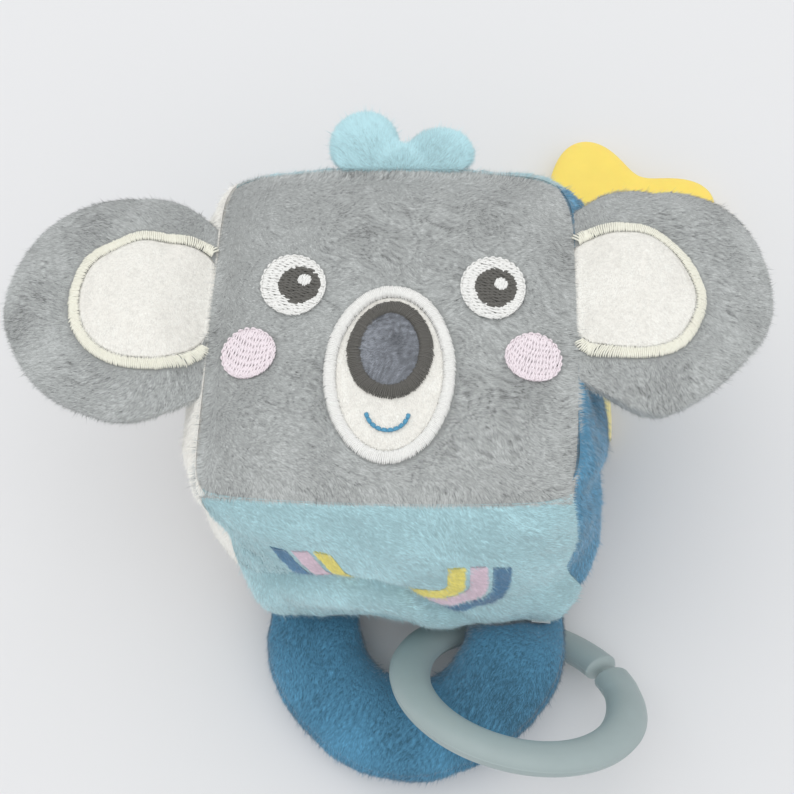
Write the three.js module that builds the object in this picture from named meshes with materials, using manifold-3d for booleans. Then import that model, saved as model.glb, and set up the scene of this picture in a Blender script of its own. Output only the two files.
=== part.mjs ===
import * as THREE from "three";
import { mergeVertices } from "three/addons/utils/BufferGeometryUtils.js";
import Module from "manifold-3d";

// Millimetres and degrees. The toy lies on its back: +Z leaves the face, +Y runs to the hair tuft.
// The origin is on the table, under the middle of the back panel.

// Stuffed cube
const CORNER_X = 44; // three-panel corners, from the middle
const CORNER_Y = 44;
const CORNER_Z = 38;
const BACK_SEAM_Z = 8; // the back seam's height over the table
const SEAM_BOW = 2.2; // how far a seam bows out at its middle
const SIDE_BULGE = 8;
const FACE_BOW = 1.5;
const FACE_BULGE = 4.5;
const BACK_BULGE = 12; // pressed flat by the table
const BOTTOM_SAG = 7; // the bottom panel's stuffing sinks towards the back
const BACK_SHIFT = 3; // the back seam lies this far to the right of the face
const FULLNESS = 0.75;
const PANEL = 2.4; // pile cloth with its backing
const GAP = 0.3; // between neighbouring pieces
const PANEL_STEPS = 8;
const SWING_STEPS = 8;

// Rattle in the foam
const CAPSULE_R = 15;
const CAPSULE_WALL = 1.6;
const BEAD_R = 3;
const BEAD_RING = 3.8;

// Cloth shapes and satin stitching on the face
const CLOTH = 0.8;
const SATIN = 1.3;
const SATIN_WIDTH = 3;
const STITCH_GAP = 0.15;
const EYE_X = 24.3;
const EYE_Y = 9;
const EYE_RX = 7.7;
const EYE_RY = 8.2;
const PUPIL_R = 5.2;
const PUPIL_SHIFT = { left: 1.5, right: 0.7 };
const GLINT_R = 1.6;
const GLINT_SHIFT = 1.2;
const CHEEK_X = 34;
const CHEEK_Y = -9.2;
const CHEEK_RX = 6.6;
const CHEEK_RY = 6.3;
const MUZZLE_Y = -14.6;
const MUZZLE_RX = 15.7;
const MUZZLE_RY = 22.5;
const NOSE_Y = -6.9;
const NOSE_RX = 10.2;
const NOSE_RY = 12.3;
const NOSE_SPREAD = 0.16; // wider below than above
const MOUTH_Y = -24;
const MOUTH_R = 5.3;
const MOUTH_ARC_ANGLE = 85; // each side of straight down
const MOUTH_WIDTH = 1.4;

// Rainbow on the bottom panel, its crown towards the back
const RAINBOW_X = 1.5;
const RAINBOW_LEG = 17.5;
const RAINBOW_WIDTH = 4.7;
const RAINBOW_INNER_R = 14.8;
const RAINBOW_STEP = 5.4;

// Ears
const EAR_R = 31.7;
const EAR_OUT = 19.5; // middle of the ear's circle, from the seam
const EAR_Y = { left: 6, right: 11 };
const EAR_HALF = 6.2;
const EAR_RIM = 0.6;
const EAR_SKIN = 1.6;
const EAR_TUCK = 2.6; // sewn in behind the seam
const EAR_FLAT = 17; // pressed thin by the seam as far out as this
const EAR_DROOP_ANGLE = { left: 4, right: 20 };
const EAR_FALL_ANGLE = { left: 32, right: 16 }; // hinge range, down and up
const EAR_LIFT_ANGLE = 75;
const EAR_PATCH_R = 15.6;
const EAR_PATCH_OUT = 13.3;
const EAR_PATCH_RISE = 0.2; // over the ear's middle
const EAR_PATCH_START = 1.2;

// Hair tuft, two locks
const TUFT_DROOP_ANGLE = 12;
const TUFT_HALF = 4.6;
const TUFT_RIM = 0.5;
const TUFT_FLAT = 9;
const TUFT_FALL_ANGLE = 18;
const TUFT_LIFT_ANGLE = 60;
const LOCK_LEFT = { x: -9.4, out: 7.2, rx: 10, ry: 13 };
const LOCK_RIGHT = { x: 10.6, out: 4.8, rx: 9.2, ry: 10.2 };
const LOCK_MIDDLE = { x: 1, out: 1.4, rx: 9, ry: 5.4 }; // joins the two

// Padded handle, half a ring sewn into the bottom-back seam
const HANDLE_X = 4.9;
const HANDLE_OUT = 9.4; // middle of the half ring, from the seam's corners
const HANDLE_R = 27.5;
const HANDLE_HALF_WIDTH = 13.5;
const HANDLE_HALF_HEIGHT = 9.2;
const HANDLE_ROOT_HALF = 1.6;
const HANDLE_TUCK = 1;
const HANDLE_SWELL = 20; // the arms reach their full height this far out
const HANDLE_FLOOR = 0.5;
const HANDLE_LIFT = 9.4; // the right arm rides over the link ring
const HANDLE_SKIN = 1.6;
const HANDLE_FALL_ANGLE = 60;
const HANDLE_RISE_ANGLE = 5;
const HANDLE_STEPS = 24;

// Open link ring through the handle, from the handle's middle
const LINK_X = 27.6;
const LINK_Y = -19.8;
const LINK_R = 28.4;
const LINK_TILT_ANGLE = 43.5;
const LINK_LEAN_ANGLE = 12.8;
const LINK_HALF_WIDTH = 5.2;
const LINK_HALF_THICK = 3.5;
const LINK_GAP = 1.2;
const LINK_GAP_ANGLE = -22;
const LINK_KNOB = 1.12;

// Star teether and its loop
const STAR_R = 32.4;
const STAR_WAVE = 5.6;
const STAR_TURN_ANGLE = 100.7;
const STAR_HALF = 4.6;
const STAR_FLOOR = 0.4;
const STAR_HOLE_R = 3;
const STAR_HOLE_IN = 6.5; // from the tip
const STAR_TAB_HALF = 1.6;
const STAR_TAB_R = 7;
const STAR_TAB_BLEND = 10;
const LOOP_Y = 38.6; // where the loop leaves the right-back seam
const LOOP_OUT = 0.7;
const LOOP_HALF_LENGTH = 4.1;
const LOOP_HALF_HEIGHT = 3.2;
const LOOP_HALF_THICK = 0.75;
const LOOP_HALF_WIDTH = 0.9;
const LOOP_FALL_ANGLE = 45;
const LOOP_RISE_ANGLE = 10;

// Ribbon tag in the right-back seam and care label over the handle
const TAG_Y = 12;
const TAG_WIDTH = 14;
const TAG_OUT = 11.5;
const TAG_THICK = 0.9;
const TAG_SLACK = 3.2;
const TAG_DROP = 3.4;
const TAG_SWING_ANGLE = 30;
const LABEL_OUT = 6.1; // outside the middle line of the right arm
const LABEL_WIDTH = 5;
const LABEL_LENGTH = 9;
const LABEL_THICK = 0.7;
const LABEL_LIFT = 0.5;

const COLOURS = {
  grey: 0xa8aeb0,
  cream: 0xf3f0e8,
  teal: 0xa5d0d4,
  blue: 0x5087b2,
  sage: 0x96a6a3,
  yellow: 0xfadc5f,
  paleYellow: 0xf6e9a6,
  slate: 0x7a8291,
  charcoal: 0x5f5d58,
  pink: 0xf0d8df,
  mouth: 0x5aa0c3,
  white: 0xebece7,
  pupil: 0x4b4946,
  foam: 0xe9e4d6,
  shell: 0xd8dde0,
  bead: 0xc9a24a,
};

const wasm = await Module();
wasm.setup();
const root = new THREE.Group();
const { degToRad, clamp, smoothstep } = THREE.MathUtils;
const at = (x, y, z) => new THREE.Vector3(x, y, z);
const range = (n, from, to) => Array.from({ length: n + 1 }, (_, i) => from + ((to - from) * i) / n);
const turned = (n) => range(n, 0, 2 * Math.PI).slice(0, n);
const MIDDLE_Z = BACK_SEAM_Z + CORNER_Z;
const SIDES = { left: -1, right: 1 };

// Closed bodies from points and triangles, whichever way round they were listed.
function body(points, triangles) {
  const make = (list) =>
    new wasm.Manifold(
      new wasm.Mesh({
        numProp: 3,
        vertProperties: new Float32Array(points.flatMap((p) => [p.x, p.y, p.z])),
        triVerts: new Uint32Array(list.flat()),
      }),
    );
  const made = make(triangles);
  return made.volume() > 0 ? made : make(triangles.map(([a, b, c]) => [a, c, b]));
}

function solidOf(geometry) {
  const bare = new THREE.BufferGeometry();
  bare.setAttribute("position", geometry.getAttribute("position"));
  bare.setIndex(geometry.getIndex());
  const merged = mergeVertices(bare, 1e-3);
  const position = merged.getAttribute("position");
  const points = range(position.count - 1, 0, position.count - 1).map((i) =>
    new THREE.Vector3().fromBufferAttribute(position, Math.round(i)),
  );
  const ids = merged.getIndex().array;
  const triangles = [];
  for (let i = 0; i < ids.length; i += 3) {
    const [a, b, c] = ids.slice(i, i + 3);
    if (a !== b && b !== c && c !== a) triangles.push([a, b, c]);
  }
  return body(points, triangles);
}

// A sheet between two grids over us x vs.
function sheet(us, vs, upper, lower) {
  const nu = us.length - 1;
  const nv = vs.length - 1;
  const points = [upper, lower].flatMap((side) => us.flatMap((u) => vs.map((v) => side(u, v))));
  const id = (side, i, j) => (side * (nu + 1) + i) * (nv + 1) + j;
  const triangles = [];
  const quad = (a, b, c, d) => triangles.push([a, b, c], [a, c, d]);
  for (let i = 0; i < nu; i++) {
    for (let j = 0; j < nv; j++) {
      quad(id(0, i, j), id(0, i + 1, j), id(0, i + 1, j + 1), id(0, i, j + 1));
      quad(id(1, i, j), id(1, i, j + 1), id(1, i + 1, j + 1), id(1, i + 1, j));
    }
    quad(id(0, i + 1, 0), id(0, i, 0), id(1, i, 0), id(1, i + 1, 0));
    quad(id(0, i, nv), id(0, i + 1, nv), id(1, i + 1, nv), id(1, i, nv));
  }
  for (let j = 0; j < nv; j++) {
    quad(id(0, 0, j), id(0, 0, j + 1), id(1, 0, j + 1), id(1, 0, j));
    quad(id(0, nu, j + 1), id(0, nu, j), id(1, nu, j), id(1, nu, j + 1));
  }
  return body(points, triangles);
}

// A tube through loops of points, capped or closed on itself.
function tube(loops, closed = false) {
  const n = loops[0].length;
  const points = loops.flat();
  const triangles = [];
  const id = (i, j) => (i % loops.length) * n + (j % n);
  const last = closed ? loops.length : loops.length - 1;
  for (let i = 0; i < last; i++)
    for (let j = 0; j < n; j++)
      triangles.push(
        [id(i, j), id(i, j + 1), id(i + 1, j + 1)],
        [id(i, j), id(i + 1, j + 1), id(i + 1, j)],
      );
  if (!closed)
    for (const i of [0, loops.length - 1]) {
      const middle = loops[i].reduce((sum, p) => sum.add(p), at(0, 0, 0)).divideScalar(n);
      const hub = points.push(middle) - 1;
      for (let j = 0; j < n; j++)
        triangles.push(i ? [id(i, j), id(i, j + 1), hub] : [id(i, j + 1), id(i, j), hub]);
    }
  return body(points, triangles);
}

// A pad over an outline given by its reach at each angle; upper and lower take (u, v, s).
function pad({ centre = [0, 0], angles, reach, steps, upper, lower, place = at }) {
  const n = angles.length;
  const points = [];
  const put = (side, angle, s) => {
    const u = centre[0] + s * reach(angle) * Math.cos(angle);
    const v = centre[1] + s * reach(angle) * Math.sin(angle);
    points.push(place(u, v, side(u, v, s)));
  };
  for (const side of [upper, lower]) {
    put(side, 0, 0);
    for (const s of steps) for (const angle of angles) put(side, angle, s);
  }
  const half = 1 + n * steps.length;
  const id = (side, k, j) => side * half + 1 + k * n + (j % n);
  const edge = steps.length - 1;
  const triangles = [];
  const quad = (a, b, c, d) => triangles.push([a, b, c], [a, c, d]);
  for (let j = 0; j < n; j++) {
    triangles.push([0, id(0, 0, j), id(0, 0, j + 1)], [half, id(1, 0, j + 1), id(1, 0, j)]);
    for (let k = 0; k < edge; k++) {
      quad(id(0, k, j), id(0, k + 1, j), id(0, k + 1, j + 1), id(0, k, j + 1));
      quad(id(1, k, j), id(1, k, j + 1), id(1, k + 1, j + 1), id(1, k + 1, j));
    }
    quad(id(0, edge, j), id(1, edge, j), id(1, edge, j + 1), id(0, edge, j + 1));
  }
  return body(points, triangles);
}

// The part of a solid above (1) or below (-1) its own XY plane, short of it by half a gap.
function halfOf(solid, sign) {
  const size = 400;
  const box = new THREE.BoxGeometry(size, size, size);
  return solid.intersect(solidOf(box.translate(0, 0, (sign * (size + GAP)) / 2)));
}

function add(name, solid, colour, { group = root, roughness = 0.95 } = {}) {
  const { numProp, numVert, vertProperties, triVerts } = solid.getMesh();
  const xyz = new Float32Array(numVert * 3);
  for (let i = 0; i < numVert; i++)
    xyz.set(vertProperties.subarray(i * numProp, i * numProp + 3), i * 3);
  const geometry = new THREE.BufferGeometry();
  geometry.setAttribute("position", new THREE.BufferAttribute(xyz, 3));
  geometry.setIndex(new THREE.BufferAttribute(triVerts, 1));
  geometry.computeVertexNormals();
  const material = new THREE.MeshStandardMaterial({ color: COLOURS[colour], roughness });
  const mesh = new THREE.Mesh(geometry, material);
  mesh.name = name;
  group.add(mesh);
}

function addGroup(position) {
  const group = new THREE.Group();
  group.position.copy(position);
  root.add(group);
  return group;
}

// Surface of the stuffed cube at a point of the unit cube, set in by a depth.
const swell = (c) => Math.pow(Math.max(0, 1 - c * c), FULLNESS);
const rise = (p, q, bow, bulge) => bow * (p + q - p * q) + bulge * p * q;
function cushion([a, b, c], depth = 0) {
  const [wa, wb, wc] = [a, b, c].map(swell);
  const back = (1 - c) / 2;
  const sag = b < 0 ? BOTTOM_SAG * wa * wc * back : 0;
  const x = a * (CORNER_X - depth + rise(wb, wc, SEAM_BOW, SIDE_BULGE)) + BACK_SHIFT * back;
  const y = b * (CORNER_Y - depth + rise(wa, wc, SEAM_BOW, SIDE_BULGE) + sag);
  const along = c < 0 ? rise(wa, wb, 0, BACK_BULGE) : rise(wa, wb, FACE_BOW, FACE_BULGE);
  const z = MIDDLE_Z + c * (CORNER_Z - depth + along);
  return at(x, y, Math.max(z, depth));
}
const FACES = {
  front: (u, v) => [u, v, 1],
  back: (u, v) => [u, v, -1],
  left: (u, v) => [-1, u, v],
  right: (u, v) => [1, u, v],
  top: (u, v) => [u, 1, v],
  bottom: (u, v) => [u, -1, v],
};
const rounded = (edge) => range(PANEL_STEPS, -Math.PI / 2, Math.PI / 2).map((t) => edge * Math.sin(t));

function cushionBlock(depth, place = (p) => p) {
  const grid = rounded(1);
  const points = [];
  const known = new Map();
  const triangles = [];
  const id = (c) => {
    const key = c.map((t) => t.toFixed(5)).join();
    if (!known.has(key)) known.set(key, points.push(place(cushion(c, depth))) - 1);
    return known.get(key);
  };
  for (const [face, to] of Object.entries(FACES)) {
    const flip = ["back", "left", "top"].includes(face);
    for (let i = 0; i < PANEL_STEPS; i++)
      for (let j = 0; j < PANEL_STEPS; j++) {
        const corners = [[0, 0], [1, 0], [1, 1], [0, 1]];
        const [a, b, c, d] = corners.map(([p, q]) => id(to(grid[i + p], grid[j + q])));
        triangles.push(...(flip ? [[a, c, b], [a, d, c]] : [[a, b, c], [a, c, d]]));
      }
  }
  return body(points, triangles);
}

// The space that the cube takes in a group's own frame, with a gap round it, as the group swings
// through a list of angles on a hinge in that frame.
function clearance(group, { hinge, axis, swing }) {
  group.updateMatrixWorld(true);
  const seen = (angle) => (p) =>
    group.worldToLocal(p).sub(hinge).applyAxisAngle(axis, -degToRad(angle)).add(hinge);
  return swing.map((angle) => cushionBlock(-GAP, seen(angle)));
}
const cutBy = (solid, blocks) => blocks.reduce((left, block) => left.subtract(block), solid);
const swingFrom = (low, high) => [0, ...range(SWING_STEPS, low, high)];

// Heights of the front and bottom panels over their own planes.
function frontZ(x, y) {
  let [a, b] = [x / CORNER_X, y / CORNER_Y];
  for (let i = 0; i < 8; i++) {
    a = x / (CORNER_X + SEAM_BOW * swell(b));
    b = y / (CORNER_Y + SEAM_BOW * swell(a));
  }
  return cushion([a, b, 1]).z;
}
function bottomY(x, z) {
  let [a, c] = [x / CORNER_X, (z - MIDDLE_Z) / CORNER_Z];
  for (let i = 0; i < 8; i++) {
    a = (x - (BACK_SHIFT * (1 - c)) / 2) / (CORNER_X + SEAM_BOW * swell(c));
    c = (z - MIDDLE_Z) / (CORNER_Z + (c > 0 ? FACE_BOW * swell(a) : 0));
  }
  return cushion([a, -1, c]).y;
}
const onFront = (x, y, w) => at(x, y, frontZ(x, y) + w);
const onBottom = (x, z, w) => at(x, bottomY(x, z) - w, z);

function makeRattle() {
  const fit = { roughness: 0.4 };
  const core = cushionBlock(PANEL + GAP);
  const well = (r, from) => {
    const deep = 4 * CORNER_Z;
    const cylinder = new THREE.CylinderGeometry(r, r, deep, 24).rotateX(Math.PI / 2);
    return solidOf(cylinder.translate(0, 0, from + deep / 2));
  };
  const pocketR = CAPSULE_R + 2 * GAP;
  add("foam_core", core.subtract(well(pocketR, MIDDLE_Z - CAPSULE_R - GAP)), "foam");
  add("foam_plug", core.intersect(well(pocketR - 1.5 * GAP, MIDDLE_Z + CAPSULE_R + GAP)), "foam");

  const arc = (r) => range(6, 0, 1).map((t) => {
    const turn = t * Math.acos(GAP / 2 / r);
    return new THREE.Vector2(r * Math.sin(turn), r * Math.cos(turn));
  });
  const profile = [...arc(CAPSULE_R), ...arc(CAPSULE_R - CAPSULE_WALL).reverse()];
  for (const [name, sign] of [["upper", 1], ["lower", -1]]) {
    const shell = new THREE.LatheGeometry(profile, 24).rotateX((sign * Math.PI) / 2);
    add("rattle_" + name + "_half", solidOf(shell.translate(0, 0, MIDDLE_Z)), "shell", fit);
  }
  const drop = Math.sqrt((CAPSULE_R - CAPSULE_WALL - BEAD_R - GAP) ** 2 - BEAD_RING ** 2);
  for (let i = 0; i < 3; i++) {
    const turn = degToRad(90 + 120 * i);
    const bead = new THREE.SphereGeometry(BEAD_R, 12, 8).rotateX(Math.PI / 2);
    bead.translate(BEAD_RING * Math.cos(turn), BEAD_RING * Math.sin(turn), MIDDLE_Z - drop);
    add("rattle_bead_" + (i + 1), solidOf(bead), "bead", fit);
  }
}

function makePanels() {
  const seam = GAP / (Math.SQRT2 * Math.min(CORNER_X, CORNER_Y, CORNER_Z));
  const grid = rounded(1 - seam);
  const colours = {
    front: "grey",
    back: "grey",
    left: "cream",
    right: "blue",
    top: "teal",
    bottom: "teal",
  };
  for (const [face, to] of Object.entries(FACES)) {
    const outer = (u, v) => cushion(to(u, v));
    const inner = (u, v) => cushion(to(u, v), PANEL);
    add("panel_" + face, sheet(grid, grid, outer, inner), colours[face]);
  }
}

// Cloth shapes and stitched bands that lie on a surface, a given height over it.
function shape(place, centre, reach, from, { thick = CLOTH, n = 24, steps = [0.5, 1] } = {}) {
  const upper = () => from + thick;
  const lower = () => from;
  return pad({ centre, angles: turned(n), reach, steps, upper, lower, place });
}
function stripe(place, path, width, from, thick, closed = false) {
  const end = path.length - 1;
  const loops = path.map(([p, q], i) => {
    const step = (k) => path[closed ? (k + path.length) % path.length : clamp(k, 0, end)];
    const [before, after] = [step(i - 1), step(i + 1)];
    const along = Math.hypot(after[0] - before[0], after[1] - before[1]);
    const side = [-(after[1] - before[1]) / along, (after[0] - before[0]) / along];
    const corner = (k, w) => place(p + side[0] * k * width, q + side[1] * k * width, from + w * thick);
    return [
      corner(0.5, 0),
      corner(0.5, 0.6),
      corner(0, 1),
      corner(-0.5, 0.6),
      corner(-0.5, 0),
      corner(0, 0),
    ];
  });
  return tube(loops, closed);
}
const oval = (rx, ry) => (t) => 1 / Math.hypot(Math.cos(t) / rx, Math.sin(t) / ry);
const around = (reach, centre, n = 28) =>
  turned(n).map((t) => [centre[0] + reach(t) * Math.cos(t), centre[1] + reach(t) * Math.sin(t)]);

const FIRST = STITCH_GAP;
const SECOND = FIRST + CLOTH + STITCH_GAP;
const THIRD = SECOND + CLOTH + STITCH_GAP;
const SATIN_INNER = SATIN_WIDTH + GAP;

function makeMuzzle() {
  const centre = [0, MUZZLE_Y];
  const inside = oval(MUZZLE_RX - SATIN_INNER, MUZZLE_RY - SATIN_INNER);
  add("muzzle_patch", shape(onFront, centre, inside, FIRST), "cream");
  const edge = around(oval(MUZZLE_RX - SATIN_WIDTH / 2, MUZZLE_RY - SATIN_WIDTH / 2), centre);
  add("muzzle_border", stripe(onFront, edge, SATIN_WIDTH, FIRST, SATIN, true), "white");
}

function makeNose() {
  const centre = [0, NOSE_Y];
  const nose = (inset) => (t) =>
    oval(NOSE_RX - inset, NOSE_RY - inset)(t) * (1 - NOSE_SPREAD * Math.sin(t));
  add("nose_patch", shape(onFront, centre, nose(SATIN_INNER), SECOND), "slate");
  const edge = around(nose(SATIN_WIDTH / 2), centre);
  add("nose_border", stripe(onFront, edge, SATIN_WIDTH, SECOND, SATIN, true), "charcoal");
  const smile = range(10, 270 - MOUTH_ARC_ANGLE, 270 + MOUTH_ARC_ANGLE).map((t) => [
    MOUTH_R * Math.cos(degToRad(t)),
    MOUTH_Y + MOUTH_R * Math.sin(degToRad(t)),
  ]);
  add("mouth_stitch", stripe(onFront, smile, MOUTH_WIDTH, SECOND, CLOTH), "mouth");
}

function makeEyesAndCheeks() {
  for (const [side, sign] of Object.entries(SIDES)) {
    const centre = [sign * EYE_X, EYE_Y];
    const look = [centre[0] + PUPIL_SHIFT[side], EYE_Y];
    const glint = [look[0] + GLINT_SHIFT, look[1] + GLINT_SHIFT];
    add("eye_white_" + side, shape(onFront, centre, oval(EYE_RX, EYE_RY), FIRST), "white");
    const pupil = shape(onFront, look, oval(PUPIL_R, PUPIL_R), SECOND, { n: 18 });
    add("pupil_" + side, pupil, "pupil");
    const dot = shape(onFront, glint, oval(GLINT_R, GLINT_R), THIRD, { n: 12, steps: [1] });
    add("eye_glint_" + side, dot, "white");
    const cheek = shape(onFront, [sign * CHEEK_X, CHEEK_Y], oval(CHEEK_RX, CHEEK_RY), FIRST);
    add("cheek_" + side, cheek, "pink");
  }
}

function makeRainbow() {
  ["yellow", "pink", "blue"].forEach((colour, i) => {
    const r = RAINBOW_INNER_R + i * RAINBOW_STEP;
    const bow = range(14, Math.PI, 2 * Math.PI).map((t) => [
      RAINBOW_X + r * Math.cos(t),
      MIDDLE_Z + r * Math.sin(t),
    ]);
    const leg = (x) => range(4, MIDDLE_Z, MIDDLE_Z + RAINBOW_LEG).map((z) => [x, z]);
    const path = [...leg(RAINBOW_X - r).slice(1).reverse(), ...bow, ...leg(RAINBOW_X + r).slice(1)];
    add("rainbow_" + colour, stripe(onBottom, path, RAINBOW_WIDTH, FIRST, CLOTH), colour);
  });
}

// Ears: two skins over a filling, with a cream patch and its satin border.
function makeEar(side, sign) {
  const group = addGroup(cushion([sign, EAR_Y[side] / CORNER_Y, 1]));
  group.rotation.y = sign * degToRad(EAR_DROOP_ANGLE[side]);
  const cube = clearance(group, {
    hinge: at(0, 0, 0),
    axis: at(0, -sign, 0),
    swing: swingFrom(-EAR_FALL_ANGLE[side], EAR_LIFT_ANGLE),
  });
  const place = (u, v, w) => at(sign * u, v, w);
  const reachOf = (r, out, start) => (t) =>
    Math.cos(t) < 0 ? Math.min(r, (start - out) / Math.cos(t)) : r;
  const reach = reachOf(EAR_R, EAR_OUT, -EAR_TUCK);
  const meet = Math.acos((-EAR_TUCK - EAR_OUT) / EAR_R);
  const angles = [
    ...range(20, -meet, meet),
    ...range(5, meet, 2 * Math.PI - meet).slice(1, 5),
  ];
  const lens = (inset) => (u, v, s) => {
    const full = Math.pow(Math.max(0, 1 - s * s), 0.6) * smoothstep(u, -EAR_TUCK, EAR_FLAT);
    return EAR_RIM / (1 + inset) + (EAR_HALF - inset) * full;
  };
  const lensBody = (inset) =>
    pad({
      centre: [EAR_OUT, 0],
      angles,
      reach: reachOf(EAR_R - inset, EAR_OUT, -EAR_TUCK),
      steps: [0.4, 0.7, 0.88, 0.97, 1],
      upper: lens(inset),
      lower: (u, v, s) => -lens(inset)(u, v, s),
      place,
    });
  const skin = cutBy(lensBody(0).subtract(lensBody(EAR_SKIN)), cube);
  add("ear_front_" + side, halfOf(skin, 1), "grey", { group });
  add("ear_back_" + side, halfOf(skin, -1), "grey", { group });
  add("ear_filling_" + side, cutBy(lensBody(EAR_SKIN + GAP), cube), "foam", { group });

  const onEar = (u, v, w) => {
    const [du, dv] = [u - EAR_OUT, v];
    const s = Math.min(1, Math.hypot(du, dv) / reach(Math.atan2(dv, du)));
    return place(u, v, lens(0)(u, v, s) + GAP + w);
  };
  const patchReach = reachOf(EAR_PATCH_R, EAR_PATCH_OUT, EAR_PATCH_START);
  const detail = { n: 28, steps: [0.35, 0.7, 1] };
  const patch = shape(onEar, [EAR_PATCH_OUT, EAR_PATCH_RISE], patchReach, 0, detail);
  add("ear_patch_" + side, cutBy(patch, cube), "cream", { group });
  const edgeR = EAR_PATCH_R + GAP + SATIN_WIDTH / 2;
  const open = Math.acos((EAR_PATCH_START - EAR_PATCH_OUT) / edgeR);
  const edge = range(22, -open, open).map((t) => [
    EAR_PATCH_OUT + edgeR * Math.cos(t),
    EAR_PATCH_RISE + edgeR * Math.sin(t),
  ]);
  const border = stripe(onEar, edge, SATIN_WIDTH, 0, SATIN);
  add("ear_border_" + side, cutBy(border, cube), "white", { group });
}

// Hair tuft: two stuffed locks from one seam, front cloth and back cloth.
function makeTuft() {
  const group = addGroup(cushion([0, 1, 1]));
  group.rotation.x = -degToRad(TUFT_DROOP_ANGLE);
  const lock = ({ x, out, rx, ry }) => {
    const upper = (u, v, s) => {
      const full = Math.pow(Math.max(0, 1 - s * s), 0.6) * smoothstep(v, -TUFT_RIM, TUFT_FLAT);
      return TUFT_RIM + TUFT_HALF * full;
    };
    const lower = (u, v, s) => -upper(u, v, s);
    const steps = [0.4, 0.7, 0.9, 1];
    return pad({ centre: [x, out], angles: turned(18), reach: oval(rx, ry), steps, upper, lower });
  };
  const swing = swingFrom(-TUFT_FALL_ANGLE, TUFT_LIFT_ANGLE);
  const cube = clearance(group, { hinge: at(0, 0, 0), axis: at(1, 0, 0), swing });
  const both = cutBy(lock(LOCK_LEFT).add(lock(LOCK_RIGHT)).add(lock(LOCK_MIDDLE)), cube);
  add("tuft_front", halfOf(both, 1), "teal", { group });
  add("tuft_back", halfOf(both, -1), "teal", { group });
}

const handleMiddle = at(HANDLE_X, -CORNER_Y - HANDLE_OUT, 0);
const handleSeam = cushion([HANDLE_R / CORNER_X, -1, -1]).setX(HANDLE_X);

// Link ring: one moulded tube, its two knobbed ends nearly touching, its far side on the table.
const linkAxes = (() => {
  const [tilt, lean] = [degToRad(LINK_TILT_ANGLE), degToRad(LINK_LEAN_ANGLE)];
  const x = at(Math.cos(lean), 0, -Math.sin(lean));
  const y = at(0, -Math.cos(tilt), Math.sin(tilt));
  y.addScaledVector(x, -y.dot(x)).normalize();
  return { x, y, z: at(0, 0, 0).crossVectors(x, y) };
})();
const linkFall = Math.hypot(linkAxes.x.z, linkAxes.y.z);
const linkGroup = addGroup(
  at(
    handleMiddle.x + LINK_X,
    handleMiddle.y + LINK_Y,
    LINK_R * linkFall + Math.hypot(LINK_HALF_WIDTH * linkFall, LINK_HALF_THICK * linkAxes.z.z),
  ),
);
linkGroup.quaternion.setFromRotationMatrix(
  new THREE.Matrix4().makeBasis(linkAxes.x, linkAxes.y, linkAxes.z),
);
function linkLoop(t, grow, clear = 0) {
  return turned(10).map((k) => {
    const r = LINK_R + (grow * LINK_HALF_WIDTH + clear) * Math.cos(k);
    const w = (grow * LINK_HALF_THICK + clear) * Math.sin(k);
    return at(r * Math.cos(t), r * Math.sin(t), w);
  });
}
function makeLink() {
  const first = degToRad(LINK_GAP_ANGLE) + LINK_GAP / 2 / LINK_R;
  const last = first + 2 * Math.PI - LINK_GAP / LINK_R;
  const knob = [
    [0, 0.55],
    [0.03, 0.95],
    [0.08, (1 + 3 * LINK_KNOB) / 4],
    [0.14, LINK_KNOB],
    [0.24, (1 + 3 * LINK_KNOB) / 4],
    [0.36, 1],
  ];
  const loops = [
    ...knob.map(([t, grow]) => linkLoop(first + t, grow)),
    ...range(34, first + 0.48, last - 0.48).map((t) => linkLoop(t, 1)),
    ...knob.map(([t, grow]) => linkLoop(last - t, grow)).reverse(),
  ];
  add("link_ring", tube(loops), "sage", { group: linkGroup, roughness: 0.35 });
}

// Handle: a stuffed tube bent to half a ring, its arms thin where the seam holds them.
const handleLeg = HANDLE_OUT + HANDLE_TUCK;
const handleLength = 2 * handleLeg + Math.PI * HANDLE_R;
function handleAt(d) {
  const turn = clamp((d - handleLeg) / HANDLE_R, 0, Math.PI);
  const up = Math.max(0, handleLeg - d, d - handleLeg - Math.PI * HANDLE_R);
  const near = (Math.min(d, handleLength - d) - 3 * HANDLE_TUCK) / (HANDLE_SWELL - 3 * HANDLE_TUCK);
  const full = HANDLE_HALF_HEIGHT - HANDLE_ROOT_HALF;
  const half = HANDLE_ROOT_HALF + full * Math.sin((Math.PI / 2) * clamp(near, 0, 1));
  const right = 1 - smoothstep(d, HANDLE_SWELL, HANDLE_SWELL + HANDLE_R);
  const left = smoothstep(d, handleLength - HANDLE_SWELL, handleLength - 3 * HANDLE_TUCK);
  const floor = HANDLE_FLOOR + HANDLE_LIFT * right + BACK_SEAM_Z * left;
  const out = at(Math.cos(turn), -Math.sin(turn), 0);
  return { middle: at(0, up, floor + half).addScaledVector(out, HANDLE_R), out, half };
}
const handleStations = range(HANDLE_STEPS, 0, handleLength).map(handleAt);
function handleBody(inset) {
  const round = (t) => Math.sign(t) * Math.pow(Math.abs(t), 0.85);
  const loops = handleStations.map(({ middle, out, half }) =>
    turned(12).map((k) => {
      const across = round(Math.cos(k)) * (HANDLE_HALF_WIDTH - inset);
      const up = round(Math.sin(k)) * Math.max(HANDLE_ROOT_HALF / 4, half - inset);
      return middle.clone().addScaledVector(out, across).add(at(0, 0, up));
    }),
  );
  return tube(loops);
}
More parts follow.
